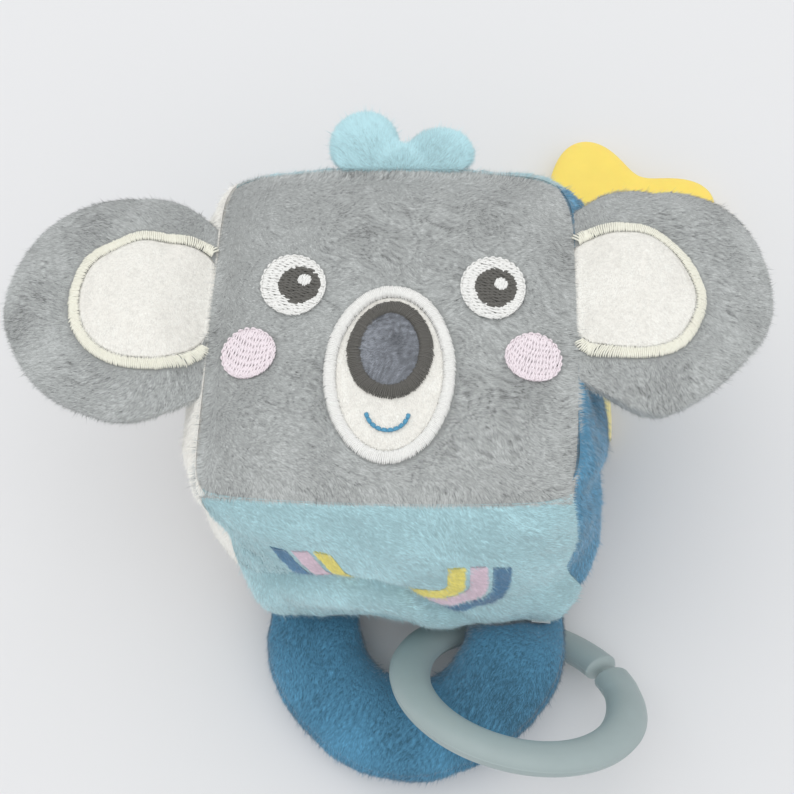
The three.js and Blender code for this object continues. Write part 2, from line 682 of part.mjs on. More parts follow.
function handleSide(sign) {
  const wide = HANDLE_HALF_WIDTH + HANDLE_TUCK; // past the tube's sides
  const loops = handleStations.map(({ middle, out }) => {
    const low = middle.clone().add(at(0, 0, (sign * GAP) / 2));
    const high = middle.clone().add(at(0, 0, 3 * sign * HANDLE_HALF_HEIGHT));
    return [
      low.clone().addScaledVector(out, -wide),
      low.clone().addScaledVector(out, wide),
      high.clone().addScaledVector(out, wide),
      high.clone().addScaledVector(out, -wide),
    ];
  });
  return tube(loops);
}
function makeHandle() {
  const group = addGroup(handleMiddle);
  const cube = clearance(group, {
    hinge: handleSeam.clone().sub(handleMiddle),
    axis: at(-1, 0, 0),
    swing: swingFrom(-HANDLE_FALL_ANGLE, HANDLE_RISE_ANGLE),
  });
  linkGroup.updateMatrixWorld(true);
  const inHandle = (p) => group.worldToLocal(linkGroup.localToWorld(p));
  const travel = turned(40).map((t) => linkLoop(t, LINK_KNOB, GAP).map(inHandle));
  const fitted = (solid) => cutBy(solid, cube).subtract(tube(travel, true));
  const skin = fitted(handleBody(0).subtract(handleBody(HANDLE_SKIN)));
  add("handle_upper", skin.intersect(handleSide(1)), "blue", { group });
  add("handle_lower", skin.intersect(handleSide(-1)), "blue", { group });
  add("handle_filling", fitted(handleBody(HANDLE_SKIN + GAP)), "foam", { group });

  const over = (x, y) => {
    const { middle, half } = handleAt(handleLeg - y);
    const side = clamp(Math.abs(x - HANDLE_R) / HANDLE_HALF_WIDTH, 0, 1);
    return middle.z + half * Math.pow(1 - side * side, 0.42);
  };
  const upper = (x, y) => at(x, y, over(x, y) + LABEL_LIFT + LABEL_THICK);
  const lower = (x, y) => at(x, y, over(x, y) + LABEL_LIFT);
  const labelX = HANDLE_R + LABEL_OUT;
  const xs = range(2, labelX - LABEL_WIDTH / 2, labelX + LABEL_WIDTH / 2);
  const ys = range(6, HANDLE_OUT, HANDLE_OUT - LABEL_LENGTH);
  add("care_label", cutBy(sheet(xs, ys, upper, lower), cube), "white", { group });
}

// Star teether, thin at the tip that holds its eyelet, and the cloth loop through it.
function makeStar() {
  const eyeletTip = degToRad(144);
  const towards = at(Math.cos(eyeletTip), Math.sin(eyeletTip), 0);
  const turn = degToRad(STAR_TURN_ANGLE);
  const tipR = STAR_R + STAR_WAVE;
  const rimIn = (STAR_HOLE_IN - STAR_HOLE_R) / 2;
  const seam = cushion([1, LOOP_Y / CORNER_Y, -1]);
  const rim = at(seam.x + LOOP_OUT, seam.y, STAR_FLOOR + STAR_HALF);
  const along = towards.clone().applyAxisAngle(at(0, 0, 1), turn);
  const group = addGroup(rim.clone().addScaledVector(along, rimIn - tipR));
  group.rotation.z = turn;

  const eye = towards.clone().multiplyScalar(tipR - STAR_HOLE_IN);
  const half = (u, v, s) => {
    const away = Math.hypot(u - eye.x, v - eye.y);
    const full = smoothstep(away, STAR_TAB_R, STAR_TAB_R + STAR_TAB_BLEND);
    return THREE.MathUtils.lerp(STAR_TAB_HALF, STAR_HALF, full) * Math.sqrt(1 - 0.82 * s ** 5);
  };
  const star = pad({
    angles: turned(40),
    reach: (t) => STAR_R + STAR_WAVE * Math.cos(5 * t),
    steps: [0.45, 0.66, 0.8, 0.93, 1],
    upper: half,
    lower: (u, v, s) => -half(u, v, s),
  });
  const bore = new THREE.CylinderGeometry(STAR_HOLE_R, STAR_HOLE_R, 4 * STAR_HALF, 20);
  const hole = solidOf(bore.rotateX(Math.PI / 2).translate(eye.x, eye.y, 0));
  add("star_teether", star.subtract(hole), "yellow", { group, roughness: 0.5 });

  const loopGroup = addGroup(rim);
  loopGroup.rotation.z = turn + eyeletTip;
  const loops = turned(16).map((t) => {
    const ring = (k) =>
      at(
        (LOOP_HALF_LENGTH + LOOP_HALF_THICK * Math.cos(k)) * Math.cos(t),
        LOOP_HALF_WIDTH * Math.sin(k),
        (LOOP_HALF_HEIGHT + LOOP_HALF_THICK * Math.cos(k)) * Math.sin(t),
      );
    return turned(8).map(ring);
  });
  loopGroup.updateMatrixWorld(true);
  const cube = clearance(loopGroup, {
    hinge: loopGroup.worldToLocal(seam),
    axis: at(0, 1, 0),
    swing: swingFrom(-LOOP_FALL_ANGLE, LOOP_RISE_ANGLE),
  });
  add("star_loop", cutBy(tube(loops, true), cube), "paleYellow", { group: loopGroup });
}

// Ribbon tag: a folded satin loop in the right-back seam.
function makeTag() {
  const seam = cushion([1, TAG_Y / CORNER_Y, -1]);
  const group = addGroup(seam);
  const half = TAG_SLACK / 2;
  const fold = range(8, -Math.PI / 2, Math.PI / 2).map((t) =>
    at(TAG_OUT - half + half * Math.cos(t), 0, half * Math.sin(t) - TAG_DROP),
  );
  const leaf = (TAG_THICK + GAP) / 2;
  const path = [at(0, 0, -leaf), at(TAG_THICK, 0, -leaf), ...fold, at(TAG_THICK, 0, leaf), at(0, 0, leaf)];
  const loops = path.map((p, i) => {
    const next = path[Math.min(path.length - 1, i + 1)].clone().sub(path[Math.max(0, i - 1)]);
    const side = at(-next.z, 0, next.x).setLength(TAG_THICK / 2);
    const across = at(0, TAG_WIDTH / 2, 0);
    return [
      p.clone().add(side).sub(across),
      p.clone().add(side).add(across),
      p.clone().sub(side).add(across),
      p.clone().sub(side).sub(across),
    ];
  });
  const swing = swingFrom(-TAG_SWING_ANGLE, TAG_SWING_ANGLE);
  const cube = clearance(group, { hinge: at(0, 0, 0), axis: at(0, -1, 0), swing });
  add("ribbon_tag", cutBy(tube(loops), cube), "paleYellow", { group, roughness: 0.5 });
}

makeRattle();
makePanels();
makeMuzzle();
makeNose();
makeEyesAndCheeks();
makeRainbow();
for (const [side, sign] of Object.entries(SIDES)) makeEar(side, sign);
makeTuft();
makeLink();
makeHandle();
makeStar();
makeTag();

export default root;
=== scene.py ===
import math

import bpy
import numpy as np
from mathutils import Matrix, Vector

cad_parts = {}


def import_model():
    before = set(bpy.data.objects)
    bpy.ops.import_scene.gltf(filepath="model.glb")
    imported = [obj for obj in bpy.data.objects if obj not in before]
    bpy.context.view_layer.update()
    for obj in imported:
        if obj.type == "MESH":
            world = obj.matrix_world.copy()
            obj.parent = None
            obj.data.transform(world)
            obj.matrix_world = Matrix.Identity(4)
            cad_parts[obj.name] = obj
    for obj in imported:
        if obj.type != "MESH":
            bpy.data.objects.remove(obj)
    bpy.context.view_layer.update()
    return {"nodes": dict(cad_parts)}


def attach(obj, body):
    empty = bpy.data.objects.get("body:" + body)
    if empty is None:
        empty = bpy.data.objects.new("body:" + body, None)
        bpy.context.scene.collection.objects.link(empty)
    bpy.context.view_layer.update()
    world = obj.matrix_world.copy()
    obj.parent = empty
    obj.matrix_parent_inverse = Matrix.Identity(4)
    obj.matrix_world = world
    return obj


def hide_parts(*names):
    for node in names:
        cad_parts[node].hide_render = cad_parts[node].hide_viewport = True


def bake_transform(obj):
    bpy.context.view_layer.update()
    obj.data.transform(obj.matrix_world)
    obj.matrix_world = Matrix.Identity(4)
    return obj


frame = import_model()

# Millimetres and degrees, in the part's frame; meshes are scaled to metres as they are made.
MM = 0.001
TINY = 1e-9
scene = bpy.context.scene

# The cube's form, as in the part's source
CORNER_X, CORNER_Y, CORNER_Z = 44, 44, 38
BACK_SEAM_Z = 8
MIDDLE_Z = BACK_SEAM_Z + CORNER_Z
SEAM_BOW, SIDE_BULGE = 2.2, 8
FACE_BOW, FACE_BULGE, BACK_BULGE = 1.5, 4.5, 12
BOTTOM_SAG, BACK_SHIFT = 7, 3
FULLNESS = 0.75
BACKING, LINING = 0.9, 3.0  # how far a panel's outer and inner side lie under the tips of the pile
PAD_INSET, TUFT_INSET = 0.7, 0.5  # the same for the cloth of the ears and handle, and for the tuft
# Lowest heights over the table: fibres and plastic, covers, their inner side, the handle's cloth
LOWEST, COVER_LOW, LINING_LOW, HANDLE_LOW = 0.05, 0.25, 1.2, 0.4
CUBE_ROOT_LOW, HANDLE_ROOT_LOW = 0.9, 0.8  # no fibre is rooted lower

# Face
SATIN_WIDTH = 3
EYE_X, EYE_Y, EYE_RX, EYE_RY = 24.3, 9, 7.7, 8.2
PUPIL_R, GLINT_R, GLINT_SHIFT = 5.2, 1.6, 1.2
PUPIL_SHIFT = {"left": 1.5, "right": 0.7}
CHEEK_X, CHEEK_Y, CHEEK_RX, CHEEK_RY = 34, -9.2, 6.6, 6.3
EYE_ANGLE, GLINT_ANGLE, CHEEK_ANGLE = -14, 70, 72  # the way the stitches run
MUZZLE_Y, MUZZLE_RX, MUZZLE_RY, MUZZLE_LOW, MUZZLE_DOME = -13.8, 15.7, 23.1, 0.35, 0.9
NOSE_Y, NOSE_RX, NOSE_RY, NOSE_SPREAD = -5.8, 9.9, 13.1, 0.2
MOUTH_Y, MOUTH_R, MOUTH_ARC, MOUTH_TWIN, MOUTH_BARE, MOUTH_PITCH = -24, 5, 82, 0.16, 0.55, 0.44

# Rainbow, and the crease that it is folded into
RAINBOW_X, RAINBOW_WIDTH, RAINBOW_TURN = 1.5, 4, 5
RAINBOW_INNER_R, RAINBOW_STEP, RAINBOW_TOP, RAINBOW_BEND = 14.8, 5.4, 65, 56
RAINBOW_NAP = (1, 0, -0.35)
LEFT_RISE, LEFT_LEAN, LEFT_SHIFT = 5, 0.45, 2.6
TUCKED = 0.06  # how much of its depth behind the crease a spot keeps
CREASE_X = [-46, -34.5, -22, -12, -2.3, 3.6, 9.8, 17, 24, 46]
CREASE_Z = [42, 46, 54, 56.5, 55.5, 51, 41, 34, 28, 20]

# Ears and tuft
SIDES = {"left": -1, "right": 1}
EAR_R, EAR_OUT, EAR_HALF, EAR_RIM, EAR_TUCK, EAR_FLAT = 30.6, 19.5, 6.2, 0.6, 2.6, 17
EAR_AT = {"left": (-46.169, 5.1, 85.479), "right": (46.096, 11, 85.429)}
EAR_DROOP = {"left": 4, "right": 20}
# How much fuller the upper outer quarter of an ear is than a circle, and how much less full the lower one
EAR_SKEW = {"left": 0.065, "right": 0.19}
EAR_SKEW_LOW = {"left": 0.065, "right": 0.12}
EAR_BUMPS = {"left": [], "right": [(0.04, -1.75, 0.5), (0.045, 1, 0.45)]}  # height, direction and spread
EAR_BEND = (8, 3)  # how far inside and outside the seam the ear's two blend points lie, which are passed on but not used
EAR_ROOT_HALF, EAR_ROOT_DEEP = 23, 9  # the cube's side has no pile under an ear's root
EAR_PATCH_R, EAR_PATCH_RISE, EAR_PATCH_START, EAR_BORDER_START = 15.6, 0.2, -1.4, -0.8
EAR_PATCH_LOW, EAR_PATCH_DOME, EAR_PATCH_BARE = 0.3, 0.9, 3.4
EAR_PATCH_OUT = {"left": 14, "right": 10.9}
EAR_PATCH_SQUARE, EAR_PATCH_SQUARE_LOW = {"left": 5, "right": 2.4}, 2.4
TUFT_AT = (0, 46.2, 85.5)
TUFT_DROOP, TUFT_HALF, TUFT_RIM, TUFT_FLAT, TUFT_TUCK = 12, 5, 0.5, 7, 2.2
TUFT_BEND = (6, 3)
LOCKS = [(-9.2, 6.2, 8.2, 10.8), (10.2, 3.2, 8.4, 7.8), (0.8, 0.4, 10.5, 5.6)]  # x, y and half sizes

# Handle, link ring, star and tag
HANDLE_AT = (4.9, -53.4, 0)
HANDLE_R, HANDLE_HALF_WIDTH, HANDLE_HALF_HEIGHT, HANDLE_ROOT_HALF = 27.5, 13.5, 9.2, 1.6
HANDLE_LEG, HANDLE_TUCK, HANDLE_SWELL, HANDLE_FLOOR, HANDLE_LIFT = 10.4, 1, 20, 0.5, 9.4
HANDLE_SEAM_Y, HANDLE_SEAM_TURN, HANDLE_BEND = -45.517, 0.2, 7
HANDLE_LENGTH, HANDLE_END, HANDLE_SQUARE, HANDLE_SPACE = 2 * HANDLE_LEG + np.pi * HANDLE_R, 0.5, 0.85, 0.35
# Depth and width of the groove of its outer and inner seam, and of the fullness beside it
HANDLE_SEAMS = ((1.3, 0.11), (-0.9, 0.55)), ((0.6, 0.1), (-1.9, 0.9))
LINK_AT = (32.5, -73.2, 24.246)
LINK_R, LINK_TILT, LINK_LEAN, LINK_HALF_WIDTH, LINK_HALF_THICK = 28.4, 43.5, 12.8, 5.2, 3.5
LINK_GAP, LINK_GAP_AT, LINK_BARE = 1.2, -22, 1.2
# Along the ring from its gap, in radians: the rounded end, the neck and the start of the plain part
LINK_CAP, LINK_NECK, LINK_END = 0.1, 0.33, 0.55
STAR_AT, STAR_TURN = (63.923, 71.373, 5), 100.7
STAR_R, STAR_WAVE, STAR_HALF, STAR_HOLE_R, STAR_HOLE_IN = 32.4, 5.6, 4.6, 3, 6.5
STAR_TAB_HALF, STAR_TAB_R, STAR_TAB_BLEND, STAR_EYELET = 1.6, 7, 10, 144
# The soft star bends towards the tuft, from a first to a last distance off its loop
STAR_BEND, STAR_BEND_FROM, STAR_BEND_TO = 3.4, 12, 48
LOOP_AT, LOOP_LONG, LOOP_HIGH, LOOP_THICK, LOOP_WIDE = (48.432, 38.6, 5), 4.1, 3.2, 0.75, 0.9
LOOP_BEND = (4.4, 1.9)  # from the end that is sewn in to where the loop hangs free
TAG_AT, TAG_WIDTH, TAG_OUT, TAG_DROP = (49.076, 12, 8), 14, 11.5, 3.4
TAG_FOLD_R, TAG_FOLD_IN, TAG_LEAF, TAG_HALF, TAG_CURL = 1.5, 1.6, 0.45, 0.2, 0.25
LABEL_OUT, LABEL_WIDTH, LABEL_LENGTH, LABEL_START, LABEL_LIFT, LABEL_THICK = 6.1, 5, 11.6, 9.4, 0.5, 0.55

# Stuffing by cloth simulation, at five times the size, where the cloth's settings suit it
CLOTH_SCALE, CLOTH_STEPS, CLOTH_PRESSURE, FINER = 5, 20, 4, 8
CUBE_GRID, CUBE_INSET, CUBE_CAP, CUBE_SPARE, CUBE_CALM = 33, 2.4, 2.8, 0.05, 0.22
EAR_RINGS, EAR_TURNS, EAR_INSET, EAR_CAP, EAR_SPARE = 16, 64, 1.0, 1.2, 0.05
HANDLE_RINGS, HANDLE_TURNS, HANDLE_INSET, HANDLE_CAP, HANDLE_SPARE = 90, 36, 1.0, 1.2, 0.05
TUFT_VOXEL, TUFT_CAP, TUFT_SPARE = 1.5, 0.8, 0.03
RIM_START, TUFT_RIM_START = 0.03, 0.05  # where the rings of a pad start, as an angle

# Pile: size in mm and strength of each noise, then the strength from fibre to fibre
PILE_LENGTH = 1.4
SWIRL_WIDE, SWIRL_FINE, SWIRL_FIBRE = (26, 0.24), (6, 0.1), 0.16
RISE_STREAK, RISE_FIBRE, RISE_LIMITS = (5, 7), 5, (9, 75)
TONE_WIDE, TONE_STREAK, TONE_FIBRE = (20, 0.12), (1.4, 0.25), 0.17
TONE_ENDS = (-0.2, -0.2, 0.18)  # painted shade at each fibre's root and a paler tip, the pile's own shadowing painted into its tone
STREAK = 0.62  # how much of the nap's direction the noise leaves out, which draws its streaks along the nap
ROOT, ROLL, SPAN = 0.12, 0.7, (0.7, 1.2)  # a fibre's depth in the cloth, twist and range of lengths
STRAY_LIFT, STRAY_LONGER = 0.5, 0.3
NORMAL_LEAN, NORMAL_SCATTER = 0.45, 0.3  # how far a fibre shades as a round one
BAKE_FILL, BAKE_EDGE, BAKE_HALF, BAKE_LONG = 0.97, 0.01, 0.0009, 0.009  # a fibre's place in the baked picture

# Thread: taper at its ends, then half width as a share of the pitch and half height
THREAD_END, SATIN_THREAD, FILL_THREAD = 0.45, (0.6, 0.2), (0.8, 0.13)
SATIN_PITCH, SATIN_STEP, SATIN_LEAN, SATIN_ROUND = 0.42, 0.3, 0.2, (2.6, 0.55)
SATIN_RAGGED, SATIN_LOOSE, FILL_LOOSE = 0.055, 0.03, 0.05  # how much the stitches vary
FILL_PITCH, DASH_PITCH, DASH, DASH_GAP = 0.38, 0.32, 1.2, 0.5
SHORTEST_ROW, SHORTEST_STITCH, STITCH_LAP, STITCH_SHIFT = 0.5, 0.6, 0.2, 0.3

# Fibres of the smaller piles, and the first number of each piece's random draws
FIBRES = {"muzzle": 26000, "nose": 9000, "rainbow": 12000, "ear": 110000, "ear_patch": 26000, "tuft": 60000,
          "handle": 130000}
SEED = {"muzzle": 31, "nose": 41, "mouth": 47, "eye": 51, "pupil": 55, "glint": 57, "cheek": 59,
        "rainbow": 70, "ear_lumps": 80, "ear": 200, "tuft": 301, "handle": 401}


# Small mathematics
def unit(v):
    return v / np.maximum(np.linalg.norm(v, axis=-1, keepdims=True), TINY)


def smooth(t, lo, hi):
    t = np.clip((t - lo) / (hi - lo), 0, 1)
    return t * t * (3 - 2 * t)


def bell(t, wide):
    return np.exp(-((t / wide) ** 2))


def waves(p, size, seed, count=12):
    """Smooth noise of about unit spread over points p; size is its wavelength."""
    rng = np.random.default_rng(seed)
    k = rng.normal(size=(count, p.shape[-1]))
    k *= 2 * np.pi / size / np.linalg.norm(k, axis=1, keepdims=True) * rng.uniform(0.7, 1.4, (count, 1))
    return np.sin(p @ k.T + rng.uniform(0, 2 * np.pi, count)).sum(-1) * math.sqrt(2 / count)


def stack(*parts):
    return np.stack(np.broadcast_arrays(*parts), axis=-1).astype(float)


def oval(rx, ry):
    return lambda t: 1 / np.hypot(np.cos(t) / rx, np.sin(t) / ry)


def grid(a, b):
    return np.meshgrid(a, b, indexing="ij")


def round_steps(count):
    return np.linspace(0, 2 * np.pi, count, endpoint=False)


def rim_steps(first, count):
    """Steps from near the middle to 1, closer together towards the edge."""
    return np.sin(np.linspace(first, np.pi / 2, count))


def polar(centre, r, t):
    return stack(centre[0] + r * np.cos(t), centre[1] + r * np.sin(t))


def cut_straight(r, t, edge):
    """Reach r in direction t, cut off where the first coordinate falls below edge, a negative number."""
    c = np.cos(t)
    return np.where(c < 0, np.minimum(r, edge / np.where(c < -1e-6, c, -1e-6)), r)


def distances(line):
    return np.concatenate([[0], np.cumsum(np.linalg.norm(np.diff(line, axis=0), axis=1))])


def at_run(line, run, d):
    """Points of a flat line at distances d, where run holds the distances of its own points."""
    return stack(*(np.interp(d, run, line[:, i]) for i in range(2)))


def left_of(ahead):
    return stack(-ahead[:, 1], ahead[:, 0])


def raised(p, n, w):
    return p + n * np.broadcast_to(w, p.shape[:-1])[..., None], n


def spun(angle):
    return np.array(Matrix.Rotation(angle, 3, "Z"))


# Meshes
def new_mesh(name, points, faces):
    """A smooth-shaded mesh from points in mm and a list of index arrays, one for each face size."""
    mesh = bpy.data.meshes.new(name)
    points = np.asarray(points, np.float32).reshape(-1, 3) * MM
    mesh.vertices.add(len(points))
    mesh.vertices.foreach_set("co", points.ravel())
    corners = np.concatenate([f.ravel() for f in faces]).astype(np.int32)
    sizes = np.concatenate([np.full(len(f), f.shape[1]) for f in faces])
    starts = np.concatenate([[0], np.cumsum(sizes)[:-1]]).astype(np.int32)
    mesh.loops.add(len(corners))
    mesh.loops.foreach_set("vertex_index", corners)
    mesh.polygons.add(len(sizes))
    mesh.polygons.foreach_set("loop_start", starts)
    mesh.polygons.foreach_set("use_smooth", np.ones(len(sizes), bool))
    mesh.update(calc_edges=True)
    return mesh


def placed(name, data):
    made = bpy.data.objects.new(name, data)
    scene.collection.objects.link(made)
    return made


def triangles(faces):
    return np.concatenate([f[:, [0, i, i + 1]] for f in faces for i in range(1, f.shape[1] - 1)])


def outward(points, faces):
    """The same closed shape with its faces turned to look outwards."""
    a, b, c = (points[triangles(faces)[:, i]] - points.mean(0) for i in range(3))
    return points, [f[:, ::-1] for f in faces] if (a * np.cross(b, c)).sum() < 0 else faces


def grid_quads(n, m, wrap=False, closed=False, base=0):
    """Quads of an n by m grid of points; wrap joins the last column to the first, closed the last row too."""
    i, j = grid(np.arange(n if closed else n - 1), np.arange(m if wrap else m - 1))
    a, b = (i + 1) % n, (j + 1) % m
    quads = np.stack([i * m + j, a * m + j, a * m + b, i * m + b], axis=-1)
    return quads.reshape(-1, 4) + base


def fan(tip, ring):
    """Triangles from one point to each step of a closed ring."""
    return np.stack([np.full(len(ring), tip), ring, np.roll(ring, -1)], axis=-1)


def slab(outer, inner):
    """A closed sheet between two grids of points of the same size."""
    n, m = outer.shape[:2]
    front = grid_quads(n, m)
    back = grid_quads(n, m, base=n * m)[:, ::-1]
    rim = np.concatenate([
        np.arange(n) * m, (n - 1) * m + np.arange(1, m), np.arange(n - 2, -1, -1) * m + m - 1,
        np.arange(m - 2, 0, -1)])
    after = np.roll(rim, -1)
    wall = np.stack([rim, rim + n * m, after + n * m, after], axis=-1)
    faces = np.concatenate([front, back, wall[:, ::-1]])
    return outward(np.concatenate([outer.reshape(-1, 3), inner.reshape(-1, 3)]), [faces])


def lens(front, back, rings, turns):
    """A closed pad: front and back give points at (s, t) and meet at s = 1."""
    s, t = grid(rings, round_steps(turns))
    upper = front(s, t).reshape(-1, 3)
    lower = back(s[:-1], t[:-1]).reshape(-1, 3)
    n, zero, j = len(rings), np.zeros(1), np.arange(turns)
    points = np.concatenate([upper, lower, front(zero, zero), back(zero, zero)])
    edge, under, low = (n - 1) * turns + j, (2 * n - 2) * turns + j, n * turns
    rim = np.stack([edge, under, np.roll(under, -1), np.roll(edge, -1)], axis=-1)
    quads = [grid_quads(n, turns, wrap=True), grid_quads(n - 1, turns, wrap=True, base=low)[:, ::-1], rim]
    fans = [fan(len(points) - 2, j), fan(len(points) - 1, low + j)[:, [0, 2, 1]]]
    return outward(points, [np.concatenate(quads), np.concatenate(fans)])


def tube(loops, closed=False):
    """A closed tube through (n, m) loops of points, capped at its ends unless it closes on itself."""
    n, m = loops.shape[:2]
    points = loops.reshape(-1, 3)
    quads = grid_quads(n, m, wrap=True, closed=closed)
    if closed:
        return outward(points, [quads])
    points = np.concatenate([points, loops[0].mean(0)[None], loops[-1].mean(0)[None]])
    j = np.arange(m)
    caps = [fan(n * m, j)[:, [0, 2, 1]], fan(n * m + 1, (n - 1) * m + j)]
    return outward(points, [quads, np.concatenate(caps)])


def strands(paths, ups, wide, tall):
    """Threads along (n, m) paths, each a closed four-sided rod that thins at its ends."""
    n, m = paths.shape[:2]
    along = unit(np.gradient(paths, axis=1))
    side = unit(np.cross(along, ups))
    up = np.cross(side, along)
    full = np.ones((m, 1))
    full[[0, -1]] = THREAD_END
    w, h = wide * full, tall * full
    points = np.stack([paths + side * w, paths + up * h, paths - side * w, paths - up * h], axis=2)
    ends = [np.arange(4), 4 * m - 1 - np.arange(4)]
    one = np.concatenate([grid_quads(m, 4, wrap=True)[:, ::-1], ends])
    faces = (one[None] + 4 * m * np.arange(n)[:, None, None]).reshape(-1, 4)
    return outward(points.reshape(-1, 3), [faces])


def joined(parts):
    points, faces, base = [], [], 0
    for p, f in parts:
        points.append(p)
        faces += [x + base for x in f]
        base += len(p)
    return np.concatenate(points), faces


def sample(points, faces, count, rng):
    """Points and normals spread evenly over a mesh given as arrays."""
    tris = triangles(faces)
    a, b, c = (points[tris[:, i]] for i in range(3))
    cross = np.cross(b - a, c - a)
    area = np.linalg.norm(cross, axis=1)
    soft = np.zeros_like(points)
    for i in range(3):
        np.add.at(soft, tris[:, i], cross)
    soft = unit(soft)
    pick = rng.choice(len(tris), count, p=area / area.sum())
    r, q = np.sqrt(rng.uniform(size=count)), rng.uniform(size=count)
    weights = stack(1 - r, r * (1 - q), r * q)[..., None]
    spot = (points[tris[pick]] * weights).sum(1)
    return spot, unit((soft[tris[pick]] * weights).sum(1))


def evaluated(made):
    """Points in mm and the faces' corner indices of an object with its modifiers applied."""
    done = made.evaluated_get(bpy.context.evaluated_depsgraph_get()).to_mesh()
    points = np.empty(3 * len(done.vertices), np.float32)
    done.vertices.foreach_get("co", points)
    corners = np.empty(len(done.loops), np.int32)
    done.loops.foreach_get("vertex_index", corners)
    made.to_mesh_clear()
    return points.reshape(-1, 3).astype(float) / MM, corners


def modified(shape, changes):
    """A closed shape of quads after modifiers, given by their kind and settings."""
    made = placed("rough", new_mesh("rough", *shape))
    for kind, settings in changes.items():
        change = made.modifiers.new(kind, kind)
        for key, value in settings.items():
            setattr(change, key, value)
    points, corners = evaluated(made)
    bpy.data.objects.remove(made)
    return outward(points, [corners.reshape(-1, 4)])


# Materials
def linear(rgb):
    c = np.array(rgb) / 255
    return tuple(np.where(c < 0.04045, c / 12.92, ((c + 0.055) / 1.055) ** 2.4)) + (1.0,)


def shaded(rgb, k):
    return tuple(min(255, c * k) for c in rgb)


def with_inputs(made, sockets):
    for key, value in sockets.items():
        made.inputs[key.replace("_", " ")].default_value = value
    return made


def material(name, **sockets):
    mat = bpy.data.materials.new(name)
    mat.use_nodes = True
    return mat, mat.node_tree, with_inputs(mat.node_tree.nodes["Principled BSDF"], sockets)


def node(tree, kind, **sockets):
    return with_inputs(tree.nodes.new(kind), sockets)


def mixed(tree, shader, factor, dark, light):
    """Base colour between two colours by a factor output."""
    mix = tree.nodes.new("ShaderNodeMix")
    mix.data_type = "RGBA"
    mix.inputs["A"].default_value = linear(dark)
    mix.inputs["B"].default_value = linear(light)
    tree.links.new(factor, mix.inputs["Factor"])
    tree.links.new(mix.outputs["Result"], shader.inputs["Base Color"])


def place_of(tree, scale=(1, 1, 1)):
    spot = tree.nodes.new("ShaderNodeTexCoord")
    sized = node(tree, "ShaderNodeMapping", Scale=scale)
    tree.links.new(spot.outputs["Object"], sized.inputs["Vector"])
    return sized.outputs["Vector"]


def noise(tree, where, scale, detail):
    made = node(tree, "ShaderNodeTexNoise", Scale=scale, Detail=detail, Roughness=0.6)
    tree.links.new(where, made.inputs["Vector"])
    return made.outputs["Fac"]


def bumped(tree, shader, height, strength, distance):
    bump = node(tree, "ShaderNodeBump", Strength=strength, Distance=distance)
    tree.links.new(height, bump.inputs["Height"])
    tree.links.new(bump.outputs["Normal"], shader.inputs["Normal"])


def grained(name, rgb, tones, colour, grain, bump, **sockets):
    """A material varied by noise; colour and grain are scale and detail, bump is strength and distance."""
    mat, tree, shader = material(name, **sockets)
    where = place_of(tree)
    mixed(tree, shader, noise(tree, where, *colour), *(shaded(rgb, k) for k in tones))
    bumped(tree, shader, noise(tree, where, *grain), *bump)
    return mat


def pile_material(name, dark, light):
    mat, tree, shader = material(name, Roughness=0.9, Sheen_Weight=0.45, Sheen_Roughness=0.45,
                                 Specular_IOR_Level=0.15)
    tone = tree.nodes.new("ShaderNodeAttribute")
    tone.attribute_name = "tone"
    mixed(tree, shader, tone.outputs["Fac"], dark, light)
    return mat


def backing_material(name, rgb):
    """Ground cloth under the pile, with a faint knit: noise runs its colour from 0.8 to 1.0 of the plush, the
    darker tones painted shade among the fibres' roots.
    """
    return grained(name, rgb, (0.8, 1.0), (900, 4), (2600, 3), (0.6, 0.0004),
                   Roughness=0.95, Sheen_Weight=0.2, Specular_IOR_Level=0.1)


def thread_material(name, rgb):
    return grained(name, rgb, (0.9, 1.03), (1500, 4), (5200, 2), (0.35, 0.0001),
                   Roughness=0.42, Sheen_Weight=0.15, Specular_IOR_Level=0.4)


def moulded_material(name, rgb, gloss, grain, soft=0.0):
    return grained(name, rgb, (0.965, 1.02), (120, 3), (grain, 2), (0.08, 0.0001),
                   Roughness=gloss, Subsurface_Weight=soft, Subsurface_Scale=0.002)


def ribbon_material(name, rgb):
    """Woven satin ribbon: fine weft lines across it."""
    mat, tree, shader = material(name, Roughness=0.4, Sheen_Weight=0.2)
    wave = node(tree, "ShaderNodeTexWave", Scale=620, Distortion=0.6, Detail=1)
    tree.links.new(place_of(tree, (1, 0.25, 1)), wave.inputs["Vector"])
    mixed(tree, shader, wave.outputs["Fac"], shaded(rgb, 0.9), shaded(rgb, 1.03))
    bumped(tree, shader, wave.outputs["Fac"], 0.3, 0.0001)
    return mat


# Colour of each plush, with its darkest and palest tone
PLUSH = {
    "plush_grey": ((175, 178, 177), 0.5, 1.15),
    "plush_cream": ((255, 252, 244), 0.97, 1.02),
    "plush_teal": ((173, 209, 216), 0.85, 1.13),
    "plush_blue": ((88, 145, 178), 0.64, 1.22),
    "plush_slate": ((125, 129, 136), 0.62, 1.25),
    "cloth_yellow": ((240, 226, 120), 0.88, 1.05),
    "cloth_pink": ((228, 204, 218), 0.9, 1.06),
    "cloth_blue": ((84, 130, 166), 0.8, 1.1),
}
THREADS = {
    "thread_white": (250, 249, 245),
    "thread_cream": (255, 251, 235),
    "thread_charcoal": (98, 96, 91),
    "thread_blue": (86, 158, 194),
    "thread_pink": (255, 239, 244),
}
RIBBON, LABEL, RING, STAR = (246, 233, 166), (240, 240, 238), (158, 172, 172), (251, 222, 104)
SHELL, BEAD, FLOOR = (216, 221, 224), (201, 162, 74), (226, 226, 227)
PALE, EVEN = {"plush_grey": 0.68}, 0.5  # middle tone of a pile that shows dark strokes, and of the others
PILE = {slot: pile_material("pile_" + slot, shaded(rgb, dark), shaded(rgb, light))
        for slot, (rgb, dark, light) in PLUSH.items()}
# ground cloth materials carry painted shade among the fibres' roots
CLOTH = {slot: backing_material("ground_" + slot, rgb) for slot, (rgb, _, _) in PLUSH.items()}
